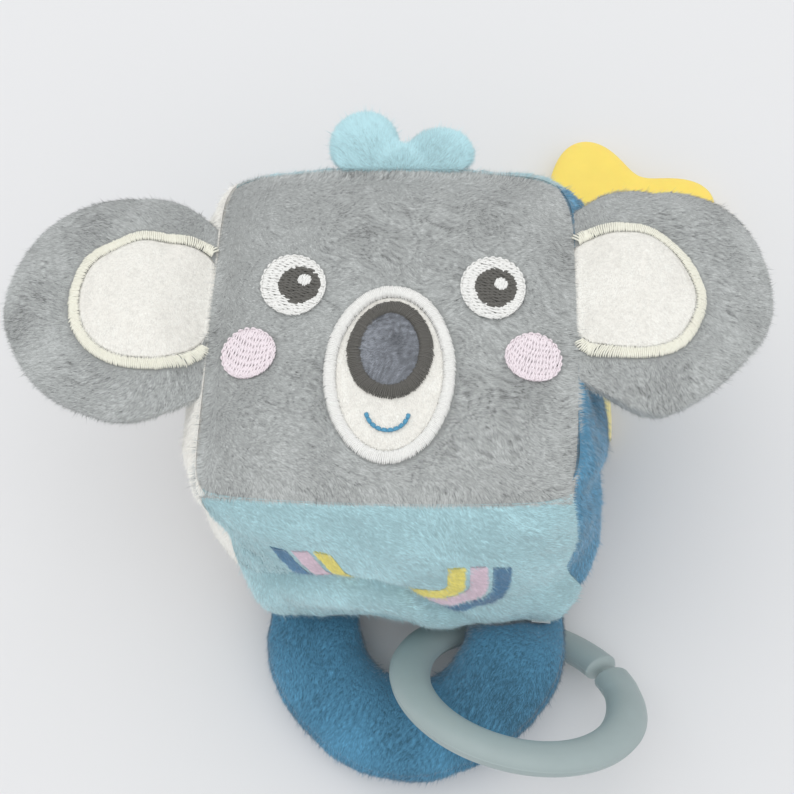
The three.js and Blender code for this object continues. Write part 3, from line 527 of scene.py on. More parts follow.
CLOTH |= {slot: thread_material(slot, rgb) for slot, rgb in THREADS.items()}


# Pieces
def piece(name, mesh, mat, body, replaces=(), blend=None):
    """Adds a mesh to the part: riding on a body, or, when blend is given, standing free with its transform
    applied.
    """
    mesh.materials.append(mat)
    made = placed(name, mesh)
    if blend:
        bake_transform(made)
    else:
        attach(made, body)
    if replaces:
        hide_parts(*replaces)
    return made


def sewn(name, shape, slot, body, replaces, blend=None):
    """A piece of ground cloth or thread from points and faces."""
    return piece(name, new_mesh(name, *shape), CLOTH[slot], body, replaces, blend)


def pile(name, spots, normals, nap, slot, body, seed, *, length=PILE_LENGTH, width=0.13, lie=27,
         blend=None, brushing_and_painted_light=0.0, stray=0.05):
    """Plush pile: one tapered fibre at each spot, combed along nap with a wandering direction."""
    rng = np.random.default_rng(seed)
    count = len(spots)

    def drift(p, noise_of, k):
        return noise_of[1] * waves(p, noise_of[0], seed + k)

    nap = np.broadcast_to(nap, spots.shape)
    comb = unit(nap - normals * (normals * nap).sum(-1, keepdims=True))
    streak = spots - comb * (spots * comb).sum(-1, keepdims=True) * STREAK
    turn = drift(spots, SWIRL_WIDE, 1) + drift(spots, SWIRL_FINE, 2)
    turn = (turn + SWIRL_FIBRE * rng.normal(size=count))[:, None]
    comb = comb * np.cos(turn) + np.cross(normals, comb) * np.sin(turn)
    rise = lie + drift(streak, RISE_STREAK, 3) + RISE_FIBRE * rng.normal(size=count)
    rise = np.radians(np.clip(rise, *RISE_LIMITS))[:, None]
    along = comb * np.cos(rise) + normals * np.sin(rise)
    side = np.cross(normals, comb)
    roll = rng.uniform(-ROLL, ROLL, (count, 1))
    side = side * np.cos(roll) + np.cross(along, side) * np.sin(roll)
    base = spots - normals * ROOT
    loose = rng.uniform(size=(count, 1)) < stray
    reach = length * rng.uniform(*SPAN, (count, 1)) * (1 + STRAY_LONGER * loose)
    tip = base + (along + loose * normals * STRAY_LIFT) * reach
    points = np.stack([base + side * width / 2, base - side * width / 2, tip], axis=1)
    points[..., 2] = np.maximum(points[..., 2], LOWEST)
    mesh = new_mesh(name, points, [np.arange(3 * count).reshape(-1, 3)])
    round_it = unit(normals - along * (normals * along).sum(-1, keepdims=True) * NORMAL_LEAN
                    + side * rng.normal(size=(count, 1)) * NORMAL_SCATTER)
    soft = mesh.attributes.new("custom_normal", "FLOAT_VECTOR", "POINT")
    soft.data.foreach_set("vector", np.repeat(round_it, 3, axis=0).astype(np.float32).ravel())
    # the tone shift passed in holds painted shade and painted highlight as well as patches of brushing
    tone = PALE.get(slot, EVEN) + brushing_and_painted_light + drift(spots, TONE_WIDE, 4) + drift(streak, TONE_STREAK, 5)
    tone = tone + TONE_FIBRE * rng.normal(size=count)
    # painted shade at the roots and a paler tip, from TONE_ENDS
    tone = np.clip(tone[:, None] + np.array(TONE_ENDS), 0, 1)
    mesh.attributes.new("tone", "FLOAT", "POINT").data.foreach_set("value", tone.astype(np.float32).ravel())
    flat = spots[:, np.argsort(np.ptp(spots, axis=0))[1:]]
    flat = (flat - flat.min(0)) / max(np.ptp(flat, axis=0).max(), TINY) * BAKE_FILL + BAKE_EDGE
    at = flat[:, None] + np.array([[-BAKE_HALF, 0.0], [BAKE_HALF, 0.0], [0.0, BAKE_LONG]])
    mesh.uv_layers.new(name="OFBake").data.foreach_set("uv", at.astype(np.float32).ravel())
    made = piece(name, mesh, PILE[slot], body, blend=blend)
    made.visible_shadow = made.visible_diffuse = False  # fibres pass light on; the cloth below shades


# The stuffed cube
def swell(c):
    return np.maximum(0, 1 - c * c) ** FULLNESS


def bulged(p, q, bow, bulge):
    return bow * (p + q - p * q) + bulge * p * q


def cushion(a, b, c, depth):
    wa, wb, wc = swell(a), swell(b), swell(c)
    back = (1 - c) / 2
    sag = np.where(b < 0, BOTTOM_SAG * wa * wc * back, 0)
    x = a * (CORNER_X - depth + bulged(wb, wc, SEAM_BOW, SIDE_BULGE)) + BACK_SHIFT * back
    y = b * (CORNER_Y - depth + bulged(wa, wc, SEAM_BOW, SIDE_BULGE) + sag)
    up = np.where(c < 0, bulged(wa, wb, 0, BACK_BULGE), bulged(wa, wb, FACE_BOW, FACE_BULGE))
    return stack(x, y, np.maximum(MIDDLE_Z + c * (CORNER_Z - depth + up), depth))


# Each face: its place on the cube, which way its normal looks, and half its sides
FACES = {
    "front": (lambda u, v, one: (u, v, one), 1, (CORNER_X, CORNER_Y)),
    "back": (lambda u, v, one: (u, v, -one), -1, (CORNER_X, CORNER_Y)),
    "left": (lambda u, v, one: (-one, u, v), -1, (CORNER_Y, CORNER_Z)),
    "right": (lambda u, v, one: (one, u, v), 1, (CORNER_Y, CORNER_Z)),
    "top": (lambda u, v, one: (u, one, v), -1, (CORNER_X, CORNER_Z)),
    "bottom": (lambda u, v, one: (u, -one, v), 1, (CORNER_X, CORNER_Z)),
}
FACE_SEED = {face: 100 * (i + 1) for i, face in enumerate(FACES)}


def on_cushion(face, depth):
    return lambda u, v: cushion(*FACES[face][0](u, v, np.ones_like(u)), depth)


def face_grid(count):
    edge = np.sin(np.linspace(-np.pi / 2, np.pi / 2, count))
    return grid(edge, edge)


def facing(surface, u, v, sign, step=2e-3):
    du = surface(u + step, v) - surface(u - step, v)
    dv = surface(u, v + step) - surface(u, v - step)
    return unit(np.cross(du, dv)) * sign


def spread(table, i, j, wrap=False):
    """Values of a table at fractional places, straight between its entries."""
    n, m = table.shape[0] - 1, table.shape[1] - (0 if wrap else 1)
    i0 = np.clip(np.floor(i), 0, n - 1).astype(int)
    j0 = np.floor(j).astype(int) % m if wrap else np.clip(np.floor(j), 0, m - 1).astype(int)
    j1 = (j0 + 1) % m if wrap else j0 + 1
    a = np.clip(i - i0, 0, 1)[..., None]
    b = (j - np.floor(j) if wrap else np.clip(j - j0, 0, 1))[..., None]
    near = table[i0, j0] * (1 - b) + table[i0, j1] * b
    return near * (1 - a) + (table[i0 + 1, j0] * (1 - b) + table[i0 + 1, j1] * b) * a


def finer(table, wrap=False):
    """A table with more entries, rounded between the old ones; wrap joins its last column to its first."""
    box, half = np.ones(FINER + 1) / FINER, FINER // 2
    box[[0, -1]] /= 2
    for axis in (0, 1):
        rows = np.moveaxis(table, axis, 0)
        ring = wrap and axis == 1
        if ring:
            rows = np.concatenate([rows, rows[:1]])
        at = np.linspace(0, len(rows) - 1, (len(rows) - 1) * FINER + 1)
        low = np.minimum(at.astype(int), len(rows) - 2)
        part = (at - low).reshape(-1, 1, 1)
        rows = rows[low] * (1 - part) + rows[low + 1] * part
        if ring:
            rows = rows[:-1]
            far = np.concatenate([rows[-half:], rows, rows[:half]])
        else:
            before, after = 2 * rows[:1] - rows[half:0:-1], 2 * rows[-1:] - rows[-2:-half - 2:-1]
            far = np.concatenate([before, rows, after])
        rows = sum(far[k:k + len(rows)] * w for k, w in enumerate(box))
        table = np.moveaxis(rows, 0, axis)
    return table


def settled(points, faces, held, cap, spare, plain):
    """Moves of a closed cover's points when blown up as cloth with spare width, its held points pinned."""
    made = placed("cover", new_mesh("cover", points * CLOTH_SCALE, faces))
    made.vertex_groups.new(name="held").add(np.flatnonzero(held).tolist(), 1, "REPLACE")
    cloth = made.modifiers.new("cloth", "CLOTH")
    cloth.point_cache.frame_end = CLOTH_STEPS
    cloth.collision_settings.use_collision = False
    rules = cloth.settings
    rules.vertex_group_mass = "held"
    rules.use_pressure, rules.uniform_pressure_force = True, CLOTH_PRESSURE
    rules.shrink_min, rules.effector_weights.gravity = -spare, 0
    for step in range(1, CLOTH_STEPS + 1):
        scene.frame_set(step)
    moved = evaluated(made)[0] / CLOTH_SCALE - points
    scene.frame_set(1)
    bpy.data.objects.remove(made)
    far = np.linalg.norm(moved, axis=1, keepdims=True)
    return moved * np.tanh(far / cap) * cap / np.maximum(far, TINY)


def cube_stuffing():
    """For each panel, a table of how far the stuffing moves its cloth from the plain form."""
    n = CUBE_GRID
    u, v = face_grid(n)
    inset = CUBE_INSET * (1 - u * u) * (1 - v * v)
    within_edge = 0.998  # normals are taken just inside the edge
    marks, plain, start, quads = [], [], [], []
    for k, (face, (to, sign, _)) in enumerate(FACES.items()):
        at = on_cushion(face, BACKING)
        mark = np.stack(to(u, v, np.ones_like(u)), axis=-1).reshape(-1, 3)
        marks.append(np.rint((np.arcsin(mark) / np.pi + 0.5) * (n - 1)).astype(int))
        plain.append(at(u, v).reshape(-1, 3))
        normals = facing(at, u * within_edge, v * within_edge, sign)
        start.append((at(u, v) - normals * inset[..., None]).reshape(-1, 3))
        quads.append(grid_quads(n, n, base=k * n * n)[:, ::sign])
    plain, start = np.concatenate(plain), np.concatenate(start)
    marks, first, welded = np.unique(np.concatenate(marks), axis=0, return_index=True, return_inverse=True)
    welded = welded.ravel()
    held = (np.isin(marks, (0, n - 1)).sum(1) > 1) | (marks[:, 2] == 0)
    moved = settled(start[first], [welded[np.concatenate(quads)]], held, CUBE_CAP, CUBE_SPARE,
                    (plain - start)[first])
    calm = smooth(1 - np.abs(u), 0, CUBE_CALM) * smooth(1 - np.abs(v), 0, CUBE_CALM)
    tables = (start + moved[welded] - plain).reshape(len(FACES), n, n, 3) * calm[..., None]
    return {face: finer(table) for face, table in zip(FACES, tables)}


STUFFING = cube_stuffing()
# Lumps and dents of the panels: height, then middle and spread along each of the two sides
LUMPS = {
    "left": [(-1.2, -0.7, 0.25, 0.3, 0.35), (1.2, -0.6, 0.3, 0.85, 0.2), (0.8, -0.8, 0.2, -0.2, 0.3),
             (2.2, 0.8, 0.3, 0.6, 0.4)],
    "right": [(2.2, 0.85, 0.25, 0.6, 0.4)],
    "top": [(1.5, 0.85, 0.25, 0.6, 0.4)],
    "bottom": [(3, -0.78, 0.2, -0.45, 0.3), (2, 0.45, 0.25, -0.45, 0.3), (-1.2, -0.25, 0.25, -0.45, 0.3),
               (4, 0.85, 0.15, -0.55, 0.35)],
}
SEAM_DEEP, SEAM_WIDE, CORNER_DEEP, CORNER_WIDE = 0.7, 1.7, 1.2, 5
PUCKER, PUCKER_LONG, PUCKER_REACH, PUCKER_DRIFT = 0.2, 7.5, 4.5, 21
UNEVEN = ((0.35, 34), (0.2, 13))  # height and size of the stuffing's unevenness
CREASE_DEEP, CREASE_WIDE, LIP_HIGH, LIP_OFF, LIP_WIDE = -3.7, 0.085, 1.8, 0.24, 0.17
CREASE_IN, CREASE_OUT = (-1, -0.7), (0.2, 0.5)  # where along the panel the crease begins and ends
HOLLOW, HOLLOW_AT, HOLLOW_WIDE = -2.4, -0.1, 0.5  # the right panel is pressed in towards the tag
# The right panel's slanted fold: how it slants and where it fades, then height, place and width of its parts
SLANT, SLANT_FADE, SLANTED = 0.55, (-0.4, 0.3), ((-2.6, 1.02, 0.13), (1.0, 0.75, 0.2))
# Where the stuffing pulls or pushes the seams: axis and move, then the middle and the spread in x, y and z
TUGS = [
    (0, 3.0, (-46, -50, 40), (14, 14, 22)),
    (0, 3.2, (-46, -48, 62), (15, 12, 12)),
    (0, -2.4, (-45, -46, 85), (10, 14, 9)),
    (0, 2.4, (-46, -50, 18), (14, 14, 12)),
    (0, 3.2, (48, -46, 24), (14, 15, 13)),
    (0, -4.2, (47, -50, 37), (9, 10, 15)),
    (0, -1.6, (45, 45, 85), (9, 9, 9)),
    (1, 1.4, (0, 46, 85), (24, 8, 9)),
]


def relief(face, u, v, p):
    """How far the stuffed cloth stands off the plain form: seams, puckers, lumps and creases."""
    seed = FACE_SEED[face]
    half_u, half_v = FACES[face][2]
    du, dv = (1 - np.abs(u)) * half_u, (1 - np.abs(v)) * half_v
    near = np.minimum(du, dv)
    high = -SEAM_DEEP * (bell(du, SEAM_WIDE) + bell(dv, SEAM_WIDE))
    high = high - CORNER_DEEP * bell(np.hypot(du, dv), CORNER_WIDE)
    for k, (run, off) in enumerate(((v * half_v, du), (u * half_u, dv))):
        pucker = np.sin(2 * np.pi * run / PUCKER_LONG + 2 * waves(p, PUCKER_DRIFT, seed + k))
        high = high + PUCKER * pucker * np.exp(-off / PUCKER_REACH) * smooth(near, 0, 2)
    for k, (height, size) in enumerate(UNEVEN):
        high = high + smooth(near, 2, 14) * height * waves(p, size, seed + 2 + k)
    for height, at_u, wide_u, at_v, wide_v in LUMPS.get(face, ()):
        high = high + height * bell(u - at_u, wide_u) * bell(v - at_v, wide_v)
    if face == "bottom":
        off = v - (np.interp(p[..., 0], CREASE_X, CREASE_Z) - MIDDLE_Z) / (CORNER_Z + FACE_BOW)
        along = smooth(u, *CREASE_IN) * (1 - smooth(u, *CREASE_OUT))
        crease = CREASE_DEEP * bell(off, CREASE_WIDE) + LIP_HIGH * bell(off + LIP_OFF, LIP_WIDE)
        high = high + along * crease
    if face == "right":
        high = high + HOLLOW * bell(u - HOLLOW_AT, HOLLOW_WIDE) * smooth(near, 0, 12)
        for height, at, wide in SLANTED:
            high = high + height * bell(u + at + SLANT * (v - 1), wide) * smooth(v, *SLANT_FADE)
    return np.minimum(high, 0) if face == "back" else high


def warped(p):
    moved = p.copy()
    for axis, far, at, wide in TUGS:
        moved[..., axis] += math.prod((bell(p[..., i] - at[i], wide[i]) for i in range(3)), start=far)
    return moved


def panel_at(face, u, v):
    plain = on_cushion(face, BACKING)
    p = plain(u, v)
    place = [(np.arcsin(np.clip(c, -1, 1)) / np.pi + 0.5) * (CUBE_GRID - 1) * FINER for c in (u, v)]
    normals = facing(plain, u, v, FACES[face][1])
    p = warped(p + normals * relief(face, u, v, p)[..., None] + spread(STUFFING[face], *place))
    p[..., 2] = np.maximum(p[..., 2], COVER_LOW)
    return p


def panel_spots(face, u, v):
    return panel_at(face, u, v), facing(lambda a, b: panel_at(face, a, b), u, v, FACES[face][1])


def front_uv(x, y):
    a, b = x / CORNER_X, y / CORNER_Y
    for _ in range(8):
        a = x / (CORNER_X + SEAM_BOW * swell(b))
        b = y / (CORNER_Y + SEAM_BOW * swell(a))
    return a, b


def bottom_uv(x, z):
    a, c = x / CORNER_X, (z - MIDDLE_Z) / CORNER_Z
    for _ in range(8):
        a = (x - BACK_SHIFT * (1 - c) / 2) / (CORNER_X + SEAM_BOW * swell(c))
        c = (z - MIDDLE_Z) / (CORNER_Z + np.where(c > 0, FACE_BOW * swell(a), 0))
    return a, np.clip(c, -1, 1)


def on_front(x, y, w):
    return raised(*panel_spots("front", *front_uv(x, y)), w)


def on_bottom(x, z, w):
    return raised(*panel_spots("bottom", *bottom_uv(x, z)), w)


def muzzle_reach(t):
    inset = SATIN_WIDTH - 0.2
    return oval(MUZZLE_RX - inset, MUZZLE_RY - inset)(t)


def on_muzzle(x, y, w):
    s = np.hypot(x, y - MUZZLE_Y) / muzzle_reach(np.arctan2(y - MUZZLE_Y, x))
    return on_front(x, y, w + MUZZLE_LOW + MUZZLE_DOME * np.maximum(0, 1 - s * s))


def nose_reach(inset):
    return lambda t: oval(NOSE_RX - inset, NOSE_RY - inset)(t) * (1 - NOSE_SPREAD * np.sin(t))


def within(x, y, centre, reach, grow):
    dx, dy = x - centre[0], y - centre[1]
    return np.hypot(dx, dy) < reach(np.arctan2(dy, dx)) + grow


def rainbow_line(i):
    """Middle line of a band as the fold leaves it: legs, round corners and a flat crown."""
    r, turn = RAINBOW_INNER_R + i * RAINBOW_STEP, RAINBOW_TURN + i * RAINBOW_STEP
    flat, leg = r - turn, np.linspace(RAINBOW_TOP, RAINBOW_BEND, 12)[:-1]
    crown = np.linspace(-flat, 0, 14)[1:]
    t = np.linspace(np.pi, 1.5 * np.pi, 24)
    x = np.concatenate([np.full(len(leg), -r), -flat + turn * np.cos(t), crown])
    z = np.concatenate([leg, RAINBOW_BEND + turn * np.sin(t), np.full(len(crown), RAINBOW_BEND - turn)])
    return stack(RAINBOW_X + np.concatenate([x, -x[-2::-1]]), np.concatenate([z, z[-2::-1]]))


def folded(x, z):
    """Where the crease draws a spot of the rainbow: the left legs lean, the rest is tucked in."""
    left = smooth(RAINBOW_X - x, 3, 14)
    z = z + LEFT_RISE * left
    x = x + left * (LEFT_LEAN * (RAINBOW_TOP + LEFT_RISE - z) - LEFT_SHIFT)
    crease = np.interp(x, CREASE_X, CREASE_Z)
    return x, np.where(z < crease, crease - TUCKED * (crease - z), z)


def band(line, off):
    """Where the crease draws the spots that lie off a middle line by each distance in off."""
    side = left_of(unit(np.gradient(line, axis=0)))
    return folded(line[:, :1] + side[:, :1] * off, line[:, 1:] + side[:, 1:] * off)


def in_rainbow(x, z):
    """True for spots of the bottom panel under a band, found on a half-millimetre map of the folded bands."""
    size, margin = 240, 0.35
    cover = np.zeros((size, size), bool)

    def cell(px, pz):
        return tuple(np.clip(c.astype(int), 0, size - 1) for c in (px * 2 + size / 2, pz * 2))

    for i in range(3):
        line = rainbow_line(i)
        line = at_run(line, np.arange(len(line)), np.linspace(0.6, len(line) - 1.6, 1500))
        cover[cell(*band(line, np.linspace(-1, 1, 40) * (RAINBOW_WIDTH / 2 - margin)))] = True
    return cover[cell(x, z)]


def bare_of_pile(face, p):
    x, y, z = p.T
    if face == "front":
        hit = within(x, y, (0, MUZZLE_Y), oval(MUZZLE_RX, MUZZLE_RY), 0.1)
        for sign in SIDES.values():
            hit |= within(x, y, (sign * EYE_X, EYE_Y), oval(EYE_RX, EYE_RY), -0.35)
            hit |= within(x, y, (sign * CHEEK_X, CHEEK_Y), oval(CHEEK_RX, CHEEK_RY), -0.35)
        return hit
    if face == "bottom":
        return in_rainbow(x, z)
    if face in SIDES:
        return (z > EAR_AT[face][2] - EAR_ROOT_DEEP) & (np.abs(y - EAR_AT[face][1]) < EAR_ROOT_HALF)
    return np.zeros(len(p), bool)


# Panels: slot, fibres and nap
PANELS = {
    "front": ("plush_grey", 150000, (0.9, -0.5, 0)),
    "back": ("plush_grey", 40000, (0.3, -1, 0)),
    "left": ("plush_cream", 60000, (0, -0.5, -1)),
    "right": ("plush_blue", 90000, (0, -0.7, -1)),
    "top": ("plush_teal", 60000, (1, 0, -0.4)),
    "bottom": ("plush_teal", 120000, (1, 0, -0.35)),
}
HIDDEN = {"back": ("foam_core", "foam_plug")}  # nodes inside the cube go with the back panel
# The face's pile is combed outwards near its edges and grows longer: how much, and from where to where
EDGE_COMB, EDGE_TURN = (2.5, 2.5, 0), (-5, 1)
EDGE_LONGER, EDGE_GROW = 1, (-1, 1.5)
FOREHEAD, FOREHEAD_FROM = -0.05, (-5, 30)  # a darker tone, and from where to where it comes in
STROKE, STROKE_AT = -0.3, (-9, 25)  # a brushed patch on the forehead, with a direction and size for each side
STROKE_SIDES = (((0.33, -0.94), 9), ((0.94, 0.33), 4))
CREASE_TONE, CREASE_DARK, CREASE_FADE = -0.6, 1.3, (10, 22)  # painted shade along the crease: its strength, its width and where it ends


def stroked(p):
    off = p - np.array(STROKE_AT)
    return math.prod((bell(off @ np.array(way), size) for way, size in STROKE_SIDES), start=STROKE)


def make_panels():
    u, v = face_grid(121)
    for face, (slot, count, nap) in PANELS.items():
        inner = warped(on_cushion(face, LINING)(u, v))
        inner[..., 2] = np.maximum(inner[..., 2], LINING_LOW)
        sewn("cover_" + face, slab(panel_at(face, u, v), inner), slot, "cube",
             ("panel_" + face, *HIDDEN.get(face, ())))
        rng = np.random.default_rng(FACE_SEED[face] + 7)
        spots, normals = panel_spots(face, *rng.uniform(-0.995, 0.995, (2, count)))
        keep = ~bare_of_pile(face, spots) & (spots[:, 2] > CUBE_ROOT_LOW)
        spots, normals = spots[keep], normals[keep]
        nap, more = np.array(nap, float), {}
        if face == "front":
            off = np.abs(spots) - CORNER_X
            nap = nap + np.sign(spots) * smooth(off, *EDGE_TURN) * np.array(EDGE_COMB)
            brushing_and_painted_light = FOREHEAD * smooth(spots[:, 1], *FOREHEAD_FROM)
            more = {"length": PILE_LENGTH + EDGE_LONGER * smooth(off[:, :1], *EDGE_GROW),
                    "brushing_and_painted_light": brushing_and_painted_light + stroked(spots[:, :2])}
        if face == "bottom":
            # painted shade along the crease, fading out towards the right
            shade = CREASE_TONE * bell(spots[:, 2] - np.interp(spots[:, 0], CREASE_X, CREASE_Z), CREASE_DARK)
            more = {"brushing_and_painted_light": shade * (1 - smooth(spots[:, 0], *CREASE_FADE))}
        pile("pile_" + face, spots, normals, nap, slot, "cube", FACE_SEED[face] + 11, **more)


# Embroidery
def satin(name, place, path, closed, slot, body, replaces, seed, *, width=SATIN_WIDTH, low=0.3, high=0.95,
          blend=None):
    """A satin-stitched band along a flat path: threads side by side across it."""
    rng = np.random.default_rng(seed)
    line = np.concatenate([path, path[:1]]) if closed else path
    run = distances(line)
    count = int(run[-1] / SATIN_PITCH)
    at = np.linspace(0, run[-1], count, endpoint=not closed)

    def near(step):
        return at_run(line, run, (at + step) % run[-1] if closed else at + step)

    along = unit(near(SATIN_STEP) - near(-SATIN_STEP))
    s = np.linspace(-1, 1, 9)
    reach = width / 2 * (1 + SATIN_RAGGED * rng.normal(size=(count, 2)))
    reach = np.where(s[None] < 0, reach[:, :1], reach[:, 1:])
    lean = SATIN_LEAN + SATIN_LOOSE * rng.normal(size=(count, 1))
    across = left_of(along)[:, None] * (s * reach)[..., None]
    flat = near(0)[:, None] + across + along[:, None] * (s * lean)[..., None]
    arch = (1 - np.abs(s) ** SATIN_ROUND[0]) ** SATIN_ROUND[1]
    lift = low + (high - low) * arch + SATIN_LOOSE * rng.normal(size=(count, 1))
    points, ups = place(flat[..., 0], flat[..., 1], lift)
    shape = strands(points, ups, SATIN_THREAD[0] * SATIN_PITCH, SATIN_THREAD[1])
    sewn(name, shape, slot, body, replaces, blend)


def fill_rows(centre, rx, ry, angle, stitch, rng, hole=None):
    """Stitches of a filled oval: rows at an angle, cut to staggered stitches; hole is (centre, radius)."""
    turn = math.radians(angle)
    along = np.array([math.cos(turn), math.sin(turn)])
    across = np.array([-along[1], along[0]])
    deep = math.hypot(rx * across[0], ry * across[1])
    k = along / (rx, ry)
    found = []
    for row, off in enumerate(np.arange(-deep + FILL_PITCH / 2, deep, FILL_PITCH)):
        m = across / (rx, ry) * off
        a, b, c = k @ k, k @ m, m @ m - 1
        if b * b - a * c <= 0:
            continue
        root = math.sqrt(b * b - a * c)
        spans = [((-b - root) / a, (-b + root) / a)]
        if hole:
            to = np.array(hole[0]) - np.array(centre)
            h, w = to @ across - off, to @ along
            if abs(h) < hole[1]:
                cut = math.sqrt(hole[1] ** 2 - h * h)
                lo, hi = spans[0]
                spans = [(lo, min(hi, w - cut)), (max(lo, w + cut), hi)]
        for lo, hi in spans:
            if hi - lo < SHORTEST_ROW:
                continue
            marks = np.arange(lo - stitch * ((row * 0.5) % 1) - STITCH_SHIFT * rng.uniform(), hi, stitch)
            inside = (marks > lo + SHORTEST_STITCH) & (marks < hi - SHORTEST_STITCH)
            marks = np.concatenate([[lo], marks[inside], [hi]])
            for p, q in zip(marks[:-1], marks[1:]):
                ends = np.array([p - STITCH_LAP, q + STITCH_LAP])
                spot = across * (off + FILL_LOOSE * rng.normal())
                found.append(np.array(centre) + np.outer(ends, along) + spot)
    return np.array(found)


def laid(place, stitches, low, high, pitch, seed):
    """Threads for flat stitches given by their two ends, arched a little over the cloth."""
    rng = np.random.default_rng(seed)
    s = np.linspace(0, 1, 6)
    flat = stitches[:, :1] + (stitches[:, 1:] - stitches[:, :1]) * s[:, None]
    lift = low + (high - low) * np.sin(np.pi * s) ** 0.5 + FILL_LOOSE * rng.normal(size=(len(stitches), 1))
    points, ups = place(flat[..., 0], flat[..., 1], lift)
    return strands(points, ups, FILL_THREAD[0] * pitch, FILL_THREAD[1])


def outline_dashes(centre, reach):
    t = np.linspace(0, 2 * np.pi, 400)
    ring = polar(centre, reach(t), t)
    run = distances(ring)
    count = round(run[-1] / (DASH + DASH_GAP))
    start = np.arange(count) * run[-1] / count
    end = start + run[-1] / count - DASH_GAP
    return np.stack([at_run(ring, run, d) for d in (start, end)], axis=1)


def embroider(name, centre, rx, ry, angle, slot, replaces, seed, *, low=0.4, stitch=3.4, hole=None,
              dashes=True):
    rng = np.random.default_rng(seed)
    rows = fill_rows(centre, rx, ry, angle, stitch, rng, hole)
    parts = [laid(on_front, rows, low, low + 0.3, FILL_PITCH, seed)]
    if dashes:
        edge = outline_dashes(centre, oval(rx, ry))
        parts.append(laid(on_front, edge, low + 0.1, low + 0.55, DASH_PITCH, seed + 1))
    sewn(name, joined(parts), slot, "cube", replaces)


def patch(name, place, centre, reach, low, dome, slot, body, replaces, blend=None):
    """A sewn-on cloth shape, puffed a little in its middle."""
    def side(height):
        def at(s, t):
            spot = polar(centre, s * reach(t), t)
            return place(spot[..., 0], spot[..., 1], height(s))[0]
        return at
    front, back = side(lambda s: low + dome * (1 - s**2)), side(lambda s: low - 0.5 + 0.5 * s**6)
    sewn(name, lens(front, back, np.linspace(0.04, 1, 24), 120), slot, body, replaces, blend)


def patch_spots(place, centre, reach, low, dome, count, rng):
    s, t = np.sqrt(rng.uniform(size=count)), rng.uniform(0, 2 * np.pi, count)
    spot = polar(centre, s * reach(t), t)
    return place(spot[:, 0], spot[:, 1], low + dome * (1 - s**2))


def ring_path(centre, reach):
    t = round_steps(240)
    return polar(centre, reach(t), t)


def make_face():
    muzzle, nose = (0, MUZZLE_Y), (0, NOSE_Y)
    patch("muzzle_cloth", on_front, muzzle, muzzle_reach, MUZZLE_LOW, MUZZLE_DOME, "plush_cream", "cube",
          ("muzzle_patch",))
    spots, normals = patch_spots(on_front, muzzle, muzzle_reach, MUZZLE_LOW, MUZZLE_DOME, FIBRES["muzzle"],
                                 np.random.default_rng(SEED["muzzle"]))
    x, y = spots[:, 0], spots[:, 1]
    mouth = (np.abs(np.hypot(x, y - MOUTH_Y) - MOUTH_R) < MOUTH_BARE) & (y < MOUTH_Y - 0.2)
    keep = ~within(x, y, nose, nose_reach(0), 0.1) & ~mouth
    pile("muzzle_pile", spots[keep], normals[keep], np.array([0.1, -1, 0]), "plush_cream", "cube",
         SEED["muzzle"] + 2, length=1.0, width=0.11, lie=40)
    band_reach = oval(MUZZLE_RX - SATIN_WIDTH / 2, MUZZLE_RY - SATIN_WIDTH / 2)
    satin("muzzle_satin", on_front, ring_path(muzzle, band_reach), True, "thread_white", "cube",
          ("muzzle_border",), SEED["muzzle"] + 4, high=1.5)

    inner = nose_reach(SATIN_WIDTH / 2)
    patch("nose_cloth", on_muzzle, nose, inner, 0.15, 0.5, "plush_slate", "cube", ("nose_patch",))
    spots, normals = patch_spots(on_muzzle, nose, nose_reach(SATIN_WIDTH), 0.25, 0.4, FIBRES["nose"],
                                 np.random.default_rng(SEED["nose"]))
    pile("nose_pile", spots, normals, np.array([-0.6, -1, 0]), "plush_slate", "cube", SEED["nose"] + 2,
         length=1.2, width=0.12, lie=34)
    satin("nose_satin", on_muzzle, ring_path(nose, inner), True, "thread_charcoal", "cube", ("nose_border",),
          SEED["nose"] + 4, low=0.1, high=1.05, width=SATIN_WIDTH + 0.5)

    smile = np.radians(np.linspace(270 - MOUTH_ARC, 270 + MOUTH_ARC, 11))
    ends = polar((0, MOUTH_Y), MOUTH_R, smile)
    stitches = np.stack([ends[:-1], ends[1:]], axis=1)
    lean = unit(stitches[:, 1] - stitches[:, 0]) @ np.array([[0, 1], [-1, 0]]) * MOUTH_TWIN
    twin = [laid(on_muzzle, stitches + (k * lean)[:, None], 0.15, 0.6, MOUTH_PITCH, SEED["mouth"])
            for k in (1, -1)]
    sewn("mouth_thread", joined(twin), "thread_blue", "cube", ("mouth_stitch",))

    for k, (side, sign) in enumerate(SIDES.items()):
        eye = (sign * EYE_X, EYE_Y)
        look = (eye[0] + PUPIL_SHIFT[side], EYE_Y)
        glint = (look[0] + GLINT_SHIFT, look[1] + GLINT_SHIFT)
        embroider("eye_thread_" + side, eye, EYE_RX, EYE_RY, EYE_ANGLE, "thread_white",
                  ("eye_white_" + side,), SEED["eye"] + k, hole=(look, PUPIL_R - 0.5))
        embroider("pupil_thread_" + side, look, PUPIL_R, PUPIL_R, EYE_ANGLE, "thread_charcoal",
                  ("pupil_" + side,), SEED["pupil"] + k, low=0.5, stitch=2.6, hole=(glint, GLINT_R - 0.4),
                  dashes=False)
        embroider("glint_thread_" + side, glint, GLINT_R, GLINT_R, GLINT_ANGLE, "thread_white",
                  ("eye_glint_" + side,), SEED["glint"] + k, low=0.7, stitch=4, dashes=False)
        embroider("cheek_thread_" + side, (sign * CHEEK_X, CHEEK_Y), CHEEK_RX, CHEEK_RY, CHEEK_ANGLE,
                  "thread_pink", ("cheek_" + side,), SEED["cheek"] + k)


